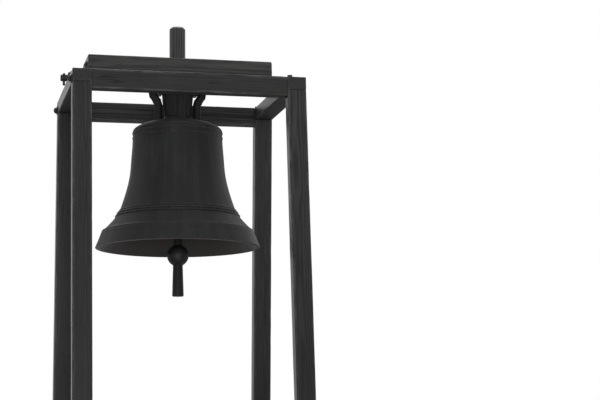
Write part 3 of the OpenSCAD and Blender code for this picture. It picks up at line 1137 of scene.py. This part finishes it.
@dataclass
class Canons:
    """The bent bars of the crown, each swept along its middle line and set around the bell's axis.

    A bar's stretches are its foot, bend, lean, arch and top, each drawn in its own number of points.
    """

    dome_z: float
    crown_z: float
    radius: float = 0.027
    count: int = 4
    sides: int = 28
    foot: float = 0.130
    sunk: float = 0.024
    rise: float = 0.095
    bend: float = 0.060
    arch: float = 0.042
    lean: float = math.radians(31.0)
    collar: float = 0.003
    collar_half: float = 0.0065
    counts: Tuple[int, ...] = (30, 9, 16, 20, 40)

    def path(self) -> Tuple[np.ndarray, np.ndarray]:
        """Draw the middle line of the right canon.

        Returns:
            Its points and how much the bar swells at each, for the collars.
        """
        sine, cosine = math.sin(self.lean), math.cos(self.lean)
        bend_z = self.dome_z + self.rise
        top = self.crown_z - self.radius - self.collar
        arch_z = top - self.arch
        foot, bend, lean, arch, bar = self.counts
        line = [(self.foot, z) for z in np.linspace(self.dome_z - self.sunk, bend_z, foot)]
        line += [(self.foot + self.bend * (1 - math.cos(a)), bend_z + self.bend * math.sin(a))
                 for a in np.linspace(0.0, self.lean, bend)[1:]]
        start_x, start_z = line[-1]
        run = (arch_z - self.arch * sine - start_z) / cosine
        line += [(start_x + s * sine, start_z + s * cosine) for s in np.linspace(0.0, run, lean)[1:]]
        arch_x = line[-1][0] - self.arch * cosine
        line += [(arch_x + self.arch * math.cos(a), arch_z + self.arch * math.sin(a))
                 for a in np.linspace(-self.lean, math.pi / 2, arch)[1:]]
        line += [(x, top) for x in np.linspace(arch_x, 0.0, bar)[1:]]
        points = np.array([(x, 0.0, z) for x, z in line])
        gone = np.concatenate([[0.0], np.cumsum(np.linalg.norm(np.diff(points, axis=0), axis=1))])
        swell = np.ones(len(points))
        lengths = (self.sunk + self.rise, self.bend * self.lean, run, self.arch * (math.pi / 2 + self.lean))
        for place in np.cumsum(lengths):
            near = np.clip(1.0 - np.abs(gone - place) / self.collar_half, 0.0, 1.0)
            swell = np.maximum(swell, 1.0 + self.collar / self.radius * np.sqrt(near))
        return points, swell

    def sweep(self) -> GeometryGraph:
        """Build the tree: a round bar along a path, with copies of it around the axis.

        Returns:
            The tree.
        """
        tree = GeometryGraph("canon_sweep", {
            "Bar Radius": "NodeSocketFloat", "Sides": "NodeSocketInt", "Count": "NodeSocketInt"})
        curve = tree.node("GeometryNodeMeshToCurve", {"Mesh": tree.given("Geometry")})
        ring = tree.node("GeometryNodeCurvePrimitiveCircle", {
            "Resolution": tree.given("Sides"), "Radius": tree.given("Bar Radius")})
        size = tree.node("GeometryNodeInputNamedAttribute", {"Name": "swell"}, data_type="FLOAT")
        bar = tree.node("GeometryNodeCurveToMesh", {
            "Curve": curve, "Profile Curve": ring, "Scale": size, "Fill Caps": True})
        spots = tree.node("GeometryNodePoints", {"Count": tree.given("Count")})
        angle = tree.node("GeometryNodeInputIndex") * (math.tau / tree.given("Count"))
        tree.close(tree.copies(spots, bar, tree.turned(angle)))
        return tree

    def shell(self, material: bpy.types.Material) -> Shell:
        """Sweep the bars.

        Args:
            material: Their finish.

        Returns:
            All bars, with the attributes of the bell.
        """
        points, swell = self.path()
        path = bpy.data.meshes.new("canon_path")
        path.from_pydata(points.tolist(), [(i, i + 1) for i in range(len(points) - 1)], [])
        set_values(path, "swell", swell)
        mesh = self.sweep().run(path, {
            "Bar Radius": self.radius, "Sides": self.sides, "Count": self.count, "Material": material})
        plain = np.zeros(len(mesh.vertices))
        bars = Shell(read_points(mesh), [tuple(face.vertices) for face in mesh.polygons],
                     {"inside": plain, "edge": plain, "dust": plain})
        bpy.data.meshes.remove(mesh)
        return bars


@dataclass
class Bell:
    """The bell: a turned body with mouldings, a core and four canons in one casting.

    Stations are a radius and a height above the lip, the core's foot or the crown's top. A dome is its
    radius, the height of its foot and its own height, and a bead is a station and its radius.
    """

    finishes: Finishes
    lip_z: float = 2.742
    height: float = 0.854
    crown_z: float = 3.852
    segments: int = 176
    sharp: float = 32.0
    shoulder: Triple = (0.296, 0.775, 0.079)
    hollow: Triple = (0.266, 0.775, 0.043)
    dome_count: int = 26
    hollow_count: int = 20
    shoulder_fall: float = 1.2
    outer: Tuple[Station, ...] = (
        (0.540, 0.0), (0.513, 0.066), (0.498, 0.103), (0.460, 0.140), (0.408, 0.200), (0.375, 0.262),
        (0.337, 0.381), (0.315, 0.483), (0.305, 0.600), (0.298, 0.690), (0.296, 0.775))
    lip_outside: Tuple[Station, ...] = (
        (0.5394, 0.0016), (0.5378, -0.0002), (0.530, -0.0018), (0.5215, -0.0032))
    lip_inside: Tuple[Station, ...] = ((0.5186, -0.0034), (0.5166, -0.002))
    inner: Tuple[Station, ...] = (
        (0.518, -0.004), (0.4492, 0.066), (0.4073, 0.131), (0.370, 0.200), (0.341, 0.262), (0.307, 0.381),
        (0.285, 0.483), (0.275, 0.600), (0.268, 0.690), (0.266, 0.775))
    waist_count: int = 96
    bead_count: int = 13
    bead_turn: float = 1.55
    beads: Tuple[Triple, ...] = (
        (0.294, 0.762, 0.006), (0.294, 0.728, 0.006), (0.383, 0.240, 0.006), (0.393, 0.224, 0.008),
        (0.406, 0.206, 0.006), (0.493, 0.107, 0.005))
    lip_top: float = 0.005
    lip_rub: float = 0.7
    core_sunk: float = 0.012
    core_neck: float = 0.032
    core_head: float = 0.060
    core_r: float = 0.086
    core_spread: float = 0.018
    core_count: int = 14
    core_segments: int = 72
    core_base: Tuple[Station, ...] = (
        (0.0, 0.0), (0.096, 0.0), (0.096, 0.017), (0.0945, 0.0205), (0.091, 0.024))
    core_base_rub: Tuple[float, ...] = (0.0, 1.0, 1.0, 1.0, 0.0)
    core_top: Tuple[Station, ...] = ((0.104, -0.005), (0.1025, -0.0015), (0.099, 0.0), (0.0, 0.0))

    @staticmethod
    def smooth(stations: Sequence[Station], steps: int = 12) -> np.ndarray:
        """Draw a cubic curve through stations, its slope set by the neighbours.

        Args:
            stations: The points that it passes through.
            steps: Steps between two stations.

        Returns:
            The points of the curve.
        """
        p = np.array(stations, float)
        last = len(p) - 1
        slopes = [(p[min(i + 1, last)] - p[max(i - 1, 0)]) / 2 for i in range(len(p))]
        found = []
        for i in range(last):
            for t in np.arange(steps) / steps:
                found.append((2 * t**3 - 3 * t**2 + 1) * p[i] + (t**3 - 2 * t**2 + t) * slopes[i]
                             + (3 * t**2 - 2 * t**3) * p[i + 1] + (t**3 - t**2) * slopes[i + 1])
        return np.array(found + [p[last]])

    def dome(self, size: Triple, turn: np.ndarray) -> np.ndarray:
        """Return points of a dome, close to an ellipse with a softer shoulder."""
        radius, foot, height = size
        return np.column_stack([radius * np.cos(turn), foot + height * np.sin(turn) ** self.shoulder_fall])

    def waist(self) -> Tuple[np.ndarray, np.ndarray]:
        """Draw the outside from the shoulder down to the lip, with its mouldings.

        Returns:
            The points and how rubbed each is.
        """
        curve = self.smooth(self.outer)
        around = np.sin(np.linspace(-self.bead_turn, self.bead_turn, self.bead_count))
        heights = [np.linspace(self.lip_top, self.outer[-1][1], self.waist_count)]
        heights += [z + r * around for _, z, r in self.beads]
        rising = np.unique(np.concatenate(heights).round(6))
        radius = np.interp(rising, curve[:, 1], curve[:, 0])
        rub = np.zeros(len(rising))
        for centre, z, r in self.beads:
            swell = centre + np.sqrt(np.clip(r * r - (rising - z) ** 2, 0.0, None))
            proud = (np.abs(rising - z) < r) & (swell > radius)
            radius = np.where(proud, swell, radius)
            rub = np.where(proud, 1.0, rub)
        return np.column_stack([radius, rising])[::-1], rub[::-1]

    def body(self) -> Shell:
        """Turn the bell's section.

        Returns:
            The shell from the top of the dome around the lip to the inside of the dome.
        """
        dome = self.dome(self.shoulder, np.linspace(math.pi / 2, 0.0, self.dome_count)[:-1])
        waist, waist_rub = self.waist()
        hollow = self.dome(self.hollow, np.linspace(0.0, math.pi / 2, self.hollow_count)[1:])
        outside = np.concatenate([dome, waist, self.lip_outside])
        inside = np.concatenate([self.lip_inside, self.smooth(self.inner)[1:], hollow])
        profile = np.concatenate([outside, inside])
        profile[:, 1] += self.lip_z
        within = np.concatenate([np.zeros(len(outside)), np.ones(len(inside))])
        lip_rub = np.full(len(self.lip_outside) + len(self.lip_inside), self.lip_rub)
        edge = np.concatenate([np.zeros(len(dome)), waist_rub, lip_rub])
        edge = np.pad(edge, (0, len(profile) - len(edge)))
        run = np.gradient(profile, axis=0)
        dust = np.clip(run[:, 0] / np.hypot(run[:, 0], run[:, 1]), 0.0, 1.0) * (1.0 - within)
        return revolve(profile, self.segments, {"inside": within, "edge": edge, "dust": dust})

    def core(self) -> Shell:
        """Turn the crown's pillar, which spreads to its head like a capital.

        Returns:
            The pillar.
        """
        foot = self.lip_z + self.height - self.core_sunk
        neck, head = foot + self.core_neck, self.crown_z - self.core_head
        rise = np.linspace(0.0, 1.0, self.core_count)
        pillar = np.column_stack([
            self.core_r + self.core_spread * np.sin(math.pi / 2 * rise), neck + (head - neck) * rise])
        base = np.array(self.core_base) + (0.0, foot)
        top = np.array(self.core_top) + (0.0, self.crown_z)
        edge = np.concatenate([self.core_base_rub, np.zeros(len(pillar)), np.ones(len(top))])
        plain = np.zeros(len(edge))
        profile = np.concatenate([base, pillar, top])
        return revolve(profile, self.core_segments, {"inside": plain, "edge": edge, "dust": plain})

    def build(self) -> None:
        """Cast the bell: the body, the core and the canons as one piece."""
        canons = Canons(self.lip_z + self.height, self.crown_z).shell(self.finishes.bronze)
        casting = self.body().joined(self.core()).joined(canons)
        piece = casting.piece("bell_casting", self.finishes.bronze, self.sharp)
        settle(piece, Body.SWING, Slot.BRONZE, "bell")


@dataclass
class Clapper:
    """The clapper: an eye on its pin, a stem, a striking ball and a long tail.

    The tail's tip is given as radii and heights above its end. The tail, the ball and the stem are drawn
    over spans that are measured from the ball's middle, each in its own number of points, and the stem
    ends below the pivot.
    """

    finishes: Finishes
    pivot_z: float = 3.488
    ball_z: float = 2.692
    tail_z: float = 2.423
    ball_r: float = 0.071
    tail_r: float = 0.032
    tail_end_r: float = 0.038
    stem_low_r: float = 0.027
    stem_r: float = 0.021
    tip: Tuple[Station, ...] = ((0.0, 0.0), (0.030, 0.0), (0.034, 0.0008), (0.0368, 0.0028))
    tip_h: float = 0.006
    tail_root: float = 0.0625
    tail_span: float = 0.085
    ball_span: float = 0.0735
    stem_span: float = 0.09
    stem_drop: float = 0.035
    fillet: float = 0.008
    fillet_swell: float = 0.002
    counts: Tuple[int, int, int] = (30, 60, 60)
    segments: int = 48
    sharp: float = 45.0
    eye_r: float = 0.039
    eye_half: float = 0.022
    eye_ease: float = 0.004
    eye_count: int = 5
    bore_r: float = 0.01505
    bore_ease: float = 0.001

    def build(self) -> None:
        """Turn the clapper and its eye."""
        tail_low, stem_top = self.tail_z + self.tip_h, self.pivot_z - self.stem_drop
        tail_count, ball_count, stem_count = self.counts
        heights = np.concatenate([
            np.linspace(tail_low, self.ball_z - self.tail_span, tail_count),
            self.ball_z - self.ball_span * np.cos(np.linspace(0.0, math.pi, ball_count)),
            np.linspace(self.ball_z + self.stem_span, stem_top, stem_count)])
        tail_ends = [tail_low, self.ball_z - self.tail_root]
        tail = np.interp(heights, tail_ends, [self.tail_end_r, self.tail_r])
        stem = np.interp(heights, [self.ball_z, stem_top], [self.stem_low_r, self.stem_r])
        bar = np.where(heights < self.ball_z, tail, stem)
        ball = np.sqrt(np.clip(self.ball_r**2 - (heights - self.ball_z) ** 2, 0.0, None))
        blend = np.clip(0.5 + 0.5 * (bar - ball) / self.fillet, 0.0, 1.0)
        radius = ball * (1 - blend) + bar * blend + self.fillet * blend * (1 - blend)
        radius = np.minimum(radius, np.maximum(bar, ball) + self.fillet_swell)
        radius = np.where(ball < Shell.merge, bar, radius)
        tip = np.array(self.tip) + (0.0, self.tail_z)
        profile = np.concatenate([tip, np.column_stack([radius, heights]), [(0.0, stem_top)]])
        shell = revolve(profile, self.segments).joined(self.eye())
        piece = shell.piece("clapper_forging", self.finishes.clapper, self.sharp)
        settle(piece, Body.CLAPPER, Slot.CLAPPER, "clapper")

    def eye(self) -> Shell:
        """Turn the eye, a round boss across the stem with a hole for the pin.

        Returns:
            The eye, in place.
        """
        ease = self.eye_ease
        ring = [(self.eye_r - ease + ease * math.sin(a), self.eye_half - ease + ease * math.cos(a))
                for a in np.linspace(math.pi / 2, 0.0, self.eye_count)]
        ring += [(self.bore_r + self.bore_ease, self.eye_half), (self.bore_r, self.eye_half - self.bore_ease)]
        profile = np.array(ring + [(r, -t) for r, t in reversed(ring)] + [ring[0]])
        shell = revolve(profile, self.segments)
        shell.points = shell.points[:, [2, 0, 1]] + np.array([0.0, 0.0, self.pivot_z])
        return shell


@dataclass
class Ironwork:
    """Bearings, gudgeons, hangers and the clapper's staple: the construction's forms with broken edges."""

    finishes: Finishes
    bearing_bevel: float = 0.002
    forged_bevel: float = 0.0016
    bevel_angle: float = 38.0
    merge: float = 2e-5
    flat: float = math.radians(0.6)
    bearings: Tuple[str, ...] = (
        "left_bearing_base", "left_bearing_cap", "right_bearing_base", "right_bearing_cap")
    forgings: Tuple[str, ...] = (
        "left_gudgeon", "right_gudgeon", "left_hanger", "right_hanger", "front_hanger", "back_hanger",
        "hanger_plates", "clapper_staple", "clapper_pin")

    def soften(self, node: str, material: bpy.types.Material, width: float) -> bpy.types.Object:
        """Copy a node, merge it and bevel its sharp edges.

        Args:
            node: The construction node.
            material: The piece's finish.
            width: Width of the bevel.

        Returns:
            The piece.
        """
        mesh = bpy.data.meshes.new(node)
        with editing(mesh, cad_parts[node].data) as work:
            bmesh.ops.remove_doubles(work, verts=work.verts, dist=self.merge)
            bmesh.ops.dissolve_limit(work, angle_limit=self.flat, verts=work.verts, edges=work.edges)
            bmesh.ops.recalc_face_normals(work, faces=work.faces)
        holder = linked(node + "_rough", mesh)
        add_bevel(holder, width, self.bevel_angle)
        return shown(node + "_iron", applied(holder), material)

    def build(self) -> None:
        """Build every iron piece."""
        for node in self.bearings:
            piece = self.soften(node, self.finishes.bearing, self.bearing_bevel)
            settle(piece, Body.TOWER, Slot.BEARING, node)
        for node in self.forgings:
            piece = self.soften(node, self.finishes.forged, self.forged_bevel)
            settle(piece, Body.SWING, Slot.FORGED, node)


@dataclass
class PinKeys:
    """Flat iron keys through the ends of the gudgeon pins, which keep them in their bearings.

    A key has a broad head above the pin and a tail that narrows below it. Its levels are heights, with
    the share of the width that it has there.
    """

    finishes: Finishes
    inner_x: float = 0.7455
    thick: float = 0.015
    half_w: float = 0.013
    corner: float = 0.002
    end_ease: float = 0.0015
    sharp: float = 40.0
    levels: Tuple[Station, ...] = (
        (3.805, 0.55), (3.808, 0.72), (3.830, 0.9), (3.872, 1.0), (3.8765, 1.35), (3.881, 1.35), (3.883, 1.1))

    def key(self, side: float) -> Shell:
        """Forge one key.

        Args:
            side: -1 for the left one and 1 for the right one.

        Returns:
            The key, in place.
        """
        middle = side * (self.inner_x + self.thick / 2)
        rings = []
        for level in self.levels:
            z, share = level
            inset = self.end_ease if level in (self.levels[0], self.levels[-1]) else 0.0
            half_a, half_b = self.thick / 2 - inset, self.half_w * share
            flat, _, _ = rounded_ring(half_a, half_b, [self.corner] * 4, arcs=3, flats=1)
            rings.append([(middle + x, y, z) for x, y in flat])
        shape = np.array(rings)
        return Shell(shape.reshape(-1, 3), loft(shape), {})

    def build(self) -> None:
        """Forge both keys as one piece."""
        left, right = (self.key(side) for side in SIDES)
        piece = left.joined(right).piece("gudgeon_keys", self.finishes.forged, self.sharp)
        settle(piece, Body.SWING, Slot.FORGED)


@dataclass(frozen=True)
class Fixing:
    """What one kind of bolt rides on, its finish and its sizes; a part with no size is left out."""

    body: Body
    slot: Slot
    across: float = 0.0
    height: float = 0.0
    washer: float = 0.0
    washer_t: float = 0.0
    stud: float = 0.0
    stud_past: float = 0.0

    def inputs(self) -> Dict[str, float]:
        """Return the sizes by the names that they have in the node tree."""
        return {"Across Flats": self.across, "Nut Height": self.height, "Washer Radius": self.washer,
                "Washer Thickness": self.washer_t, "Stud Radius": self.stud, "Stud Past": self.stud_past}


class FixingKind(Enum):
    """The kinds of bolt on the tower, each of them one piece of that name."""

    TIE_NUTS = Fixing(Body.TOWER, Slot.FORGED, 0.036, 0.015, 0.030, 0.005, 0.0115, 0.0045)
    TIE_HEADS = Fixing(Body.TOWER, Slot.FORGED, washer=0.026, washer_t=0.003, stud=0.016, stud_past=0.003)
    COACH_BOLTS = Fixing(Body.TOWER, Slot.FORGED, 0.030, 0.013, 0.025, 0.004)
    BEARING_FOOT_BOLTS = Fixing(Body.TOWER, Slot.BEARING, 0.024, 0.010, 0.018, 0.003, 0.008, 0.004)
    BEARING_CAP_BOLTS = Fixing(Body.TOWER, Slot.BEARING, 0.017, 0.007, stud=0.0055, stud_past=0.002)
    HANGER_NUTS = Fixing(Body.SWING, Slot.FORGED, 0.030, 0.015)
    PLATE_BOLTS = Fixing(Body.SWING, Slot.FORGED, 0.022, 0.006)


@dataclass
class Fixings:
    """Nuts, bolt heads and washers, set on points by one node tree.

    Places are measured from the middle of the tower, and across from a bearing's middle for its own bolts.
    A bearing's foot is foot_h thick, and the rows of plate bolts are heights above the lower edge of a
    gudgeon's plate.
    """

    finishes: Finishes
    rods: HangerRods = HangerRods()
    seed: int = 5
    nut_sides: int = 6
    washer_sides: int = 30
    stud_sides: int = 18
    sharp: float = 32.0
    bevel: float = 0.0012
    merge: float = 1e-5
    tie_y: float = 0.5
    tie_z: float = 3.738
    coach_x: float = 0.652
    foot_x: float = 0.022
    foot_y: float = 0.100
    foot_h: float = 0.018
    cap_x: float = 0.024
    cap_y: float = 0.041
    plate_t: float = 0.010
    plate_y: float = 0.078
    plate_rows: Tuple[float, ...] = (0.055, 0.108)

    def tree(self) -> GeometryGraph:
        """Build the tree: a nut on a washer with a stud through it, turned at random about its axis.

        Returns:
            The tree.
        """
        sizes = {label: "NodeSocketFloat" for label in FixingKind.TIE_NUTS.value.inputs()}
        tree = GeometryGraph("fixing_set", {**sizes, "Seed": "NodeSocketInt"})
        spots = tree.node("GeometryNodeMeshToPoints", {"Mesh": tree.given("Geometry")})
        facing = tree.node("GeometryNodeInputNamedAttribute", {"Name": "facing"}, data_type="FLOAT_VECTOR")
        aim = tree.node("FunctionNodeAlignRotationToVector", {"Vector": facing}, axis="Z")
        spin = tree.node("FunctionNodeRandomValue", {
            "Min_001": 0.0, "Max_001": math.pi / 3, "Seed": tree.given("Seed")}, 1, data_type="FLOAT")
        turn = tree.node("FunctionNodeRotateRotation", {
            "Rotation": aim, "Rotate By": tree.turned(spin)}, rotation_space="LOCAL")
        corner = tree.given("Across Flats") * (1.0 / math.sqrt(3.0))
        labels = ("Washer Thickness", "Nut Height", "Stud Past")
        washer, nut, past = (tree.given(label) for label in labels)
        parts = [
            self.disc(tree, self.nut_sides, corner, washer, nut),
            self.disc(tree, self.washer_sides, tree.given("Washer Radius"), 0.0, washer),
            self.disc(tree, self.stud_sides, tree.given("Stud Radius"), washer + nut, past)]
        bolt = tree.node("GeometryNodeJoinGeometry", {"Geometry": parts})
        tree.close(tree.copies(spots, bolt, turn))
        return tree

    @staticmethod
    def disc(tree: GeometryGraph, sides: int, radius: Wire, low: Value, height: Wire) -> Wire:
        """Add a cylinder to the tree.

        Args:
            tree: The tree.
            sides: Its sides.
            radius: Its radius.
            low: The height that it stands on.
            height: Its own height.

        Returns:
            The cylinder.
        """
        sizes = {"Vertices": sides, "Radius": radius, "Depth": height}
        made = tree.node("GeometryNodeMeshCylinder", sizes, "Mesh")
        shift = tree.node("ShaderNodeCombineXYZ", {"Z": low + height * 0.5})
        return tree.node("GeometryNodeTransform", {"Geometry": made, "Translation": shift})

    def spots(self) -> Dict[FixingKind, List[Spot]]:
        """Work out where the bolts sit.

        Returns:
            The places of each kind, with the way that each bolt faces.
        """
        beam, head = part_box("right_side_beam")[1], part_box("headstock")[1]
        low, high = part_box("right_bearing_base")
        bearing_x = (low.x + high.x) / 2
        cap_z, plates_z = (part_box(node)[1].z for node in ("right_bearing_cap", "hanger_plates"))
        gudgeon_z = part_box("right_gudgeon")[0].z
        rods = ((self.rods.out, self.rods.apart), (self.rods.apart, self.rods.out))
        out = {sx: Vector((sx, 0.0, 0.0)) for sx in SIDES}
        corners = [(sx, sy) for sx in SIDES for sy in SIDES]
        nuts, heads = ([(Vector((sx * beam.x, sy * self.tie_y, self.tie_z)), out[sx]) for sy in SIDES]
                       for sx in SIDES)
        return {
            FixingKind.TIE_NUTS: nuts,
            FixingKind.TIE_HEADS: heads,
            FixingKind.COACH_BOLTS: [
                (Vector((sx * self.coach_x, sy * self.tie_y, beam.z)), UP) for sx, sy in corners],
            FixingKind.BEARING_FOOT_BOLTS: [
                (Vector((sx * (bearing_x + dx), sy * self.foot_y, beam.z + self.foot_h)), UP)
                for sx, sy in corners for dx in (-self.foot_x, self.foot_x)],
            FixingKind.BEARING_CAP_BOLTS: [
                (Vector((sx * (bearing_x + dx), sy * self.cap_y, cap_z)), UP)
                for sx, sy in corners for dx in (-self.cap_x, self.cap_x)],
            FixingKind.HANGER_NUTS: [
                (Vector((sx * x, sy * y, plates_z)), UP) for sx, sy in corners for x, y in rods],
            FixingKind.PLATE_BOLTS: [
                (Vector((sx * (head.x + self.plate_t), sy * self.plate_y, gudgeon_z + row)), out[sx])
                for sx, sy in corners for row in self.plate_rows],
        }

    def build(self) -> None:
        """Set each kind of bolt on its points."""
        tree, places = self.tree(), self.spots()
        for seed, kind in enumerate(FixingKind, self.seed):
            name, fixing = kind.name.lower(), kind.value
            spots, ways = (np.array([tuple(v) for v in vectors]) for vectors in zip(*places[kind]))
            mesh = bpy.data.meshes.new(name + "_points")
            mesh.from_pydata(spots.tolist(), [], [])
            set_values(mesh, "facing", ways)
            finish = self.finishes.bearing if fixing.slot is Slot.BEARING else self.finishes.forged
            made = tree.run(mesh, {**fixing.inputs(), "Seed": seed, "Material": finish}, self.bevel)
            self.clean(made)
            settle(shown(name, made, finish, self.sharp), fixing.body, fixing.slot)

    def clean(self, mesh: bpy.types.Mesh) -> None:
        """Take out parts with no size, such as a stud of radius 0.

        Args:
            mesh: The bolts.
        """
        with editing(mesh) as work:
            bmesh.ops.dissolve_degenerate(work, edges=work.edges, dist=self.merge)
            loose = [v for v in work.verts if not v.link_faces]
            bmesh.ops.delete(work, geom=loose, context="VERTS")


@dataclass
class Studio:
    """Plain soft light, a pale floor and the camera."""

    eye: Triple = (-1.674, -10.162, 1.526)
    yaw: float = math.radians(13.848)
    pitch: float = math.radians(8.444)
    roll: float = math.radians(-0.778)
    focal_px: float = 1573.012
    width_px: float = 600.0
    sensor: float = 36.0
    sight: float = 400.0
    sky: float = 0.45
    key: float = 1.0
    key_angle: float = math.radians(22.0)
    key_place: Triple = (0.0, 0.0, 8.0)
    key_way: Triple = (-0.12, -0.42, -0.9)
    fill: float = 920.0
    fill_size: float = 1.0
    fill_cone: float = math.radians(36.0)
    fill_blend: float = 0.6
    fill_aim: Triple = (0.0, 0.0, 2.6)
    floor_half: float = 60.0
    floor_paint: Colour = (0.8, 0.8, 0.79)

    def build(self) -> None:
        """Set the floor, the lamps, the world and the camera."""
        self.floor()
        self.lamps()
        self.world()
        self.camera()

    def floor(self) -> None:
        """Lay a wide pale floor."""
        mesh = bpy.data.meshes.new("floor")
        far = self.floor_half
        mesh.from_pydata([(-far, -far, 0), (far, -far, 0), (far, far, 0), (-far, far, 0)], [], [(0, 1, 2, 3)])
        material, graph = new_material("floor_paint")
        graph.surface({"Base Color": self.floor_paint, "Roughness": 0.9, "Specular IOR Level": 0.1})
        mesh.materials.append(material)
        linked("floor", mesh)

    def lamps(self) -> None:
        """Hang a soft lamp above and behind, and a broad fill at the camera."""
        key = bpy.data.lights.new("key", "SUN")
        key.energy, key.angle = self.key, self.key_angle
        fill = bpy.data.lights.new("fill", "SPOT")
        fill.energy, fill.shadow_soft_size = self.fill, self.fill_size
        fill.spot_size, fill.spot_blend = self.fill_cone, self.fill_blend
        ahead = Vector(self.fill_aim) - Vector(self.eye)
        for lamp, place, way in ((key, self.key_place, Vector(self.key_way)), (fill, self.eye, ahead)):
            hung = linked(lamp.name, lamp)
            hung.location = place
            hung.rotation_euler = way.to_track_quat("-Z", "Y").to_euler()

    def world(self) -> None:
        """Light the scene evenly, with white where the backdrop shows or is mirrored."""
        world = bpy.data.worlds.new("studio")
        world.use_nodes = True
        graph = ShaderGraph(world.node_tree)
        rays = ("Is Camera Ray", "Is Glossy Ray", "Is Transmission Ray")
        camera, glossy, through = (graph.node("ShaderNodeLightPath", output=ray) for ray in rays)
        seen = (camera + glossy + through).over(0.0, 1.0)
        light = graph.node("ShaderNodeBackground", {
            "Color": (1.0, 1.0, 1.0), "Strength": seen * (1.0 - self.sky) + self.sky})
        graph.node("ShaderNodeOutputWorld", {"Surface": light})
        bpy.context.scene.world = world

    def camera(self) -> None:
        """Set the camera at the viewing angle."""
        data = bpy.data.cameras.new("view")
        data.sensor_fit, data.sensor_width = "HORIZONTAL", self.sensor
        data.lens = self.sensor * self.focal_px / self.width_px
        data.clip_end = self.sight
        level = math.cos(self.pitch)
        ahead = Vector((math.sin(self.yaw) * level, math.cos(self.yaw) * level, math.sin(self.pitch)))
        right = Vector((math.cos(self.yaw), -math.sin(self.yaw), 0.0))
        up = right.cross(ahead)
        across = math.cos(self.roll) * right + math.sin(self.roll) * up
        upward = -math.sin(self.roll) * right + math.cos(self.roll) * up
        turn = Matrix((across, upward, -ahead)).transposed().to_4x4()
        camera = linked("view", data)
        camera.matrix_world = Matrix.Translation(Vector(self.eye)) @ turn
        bpy.context.scene.camera = camera
        bpy.context.scene.view_settings.view_transform = "Standard"


def main() -> None:
    """Build the tower from the posts up, then the studio."""
    logging.basicConfig(level=logging.INFO, format="%(name)s: %(message)s")
    finishes = Finishes()
    cutter = TimberCutter()
    Posts(finishes, cutter).build()
    TopFrame(finishes, cutter).build()
    Ironwork(finishes).build()
    Headstock(finishes, cutter).build()
    Bell(finishes).build()
    Clapper(finishes).build()
    PinKeys(finishes).build()
    Fixings(finishes).build()
    Studio().build()


if __name__ == "__main__":
    main()
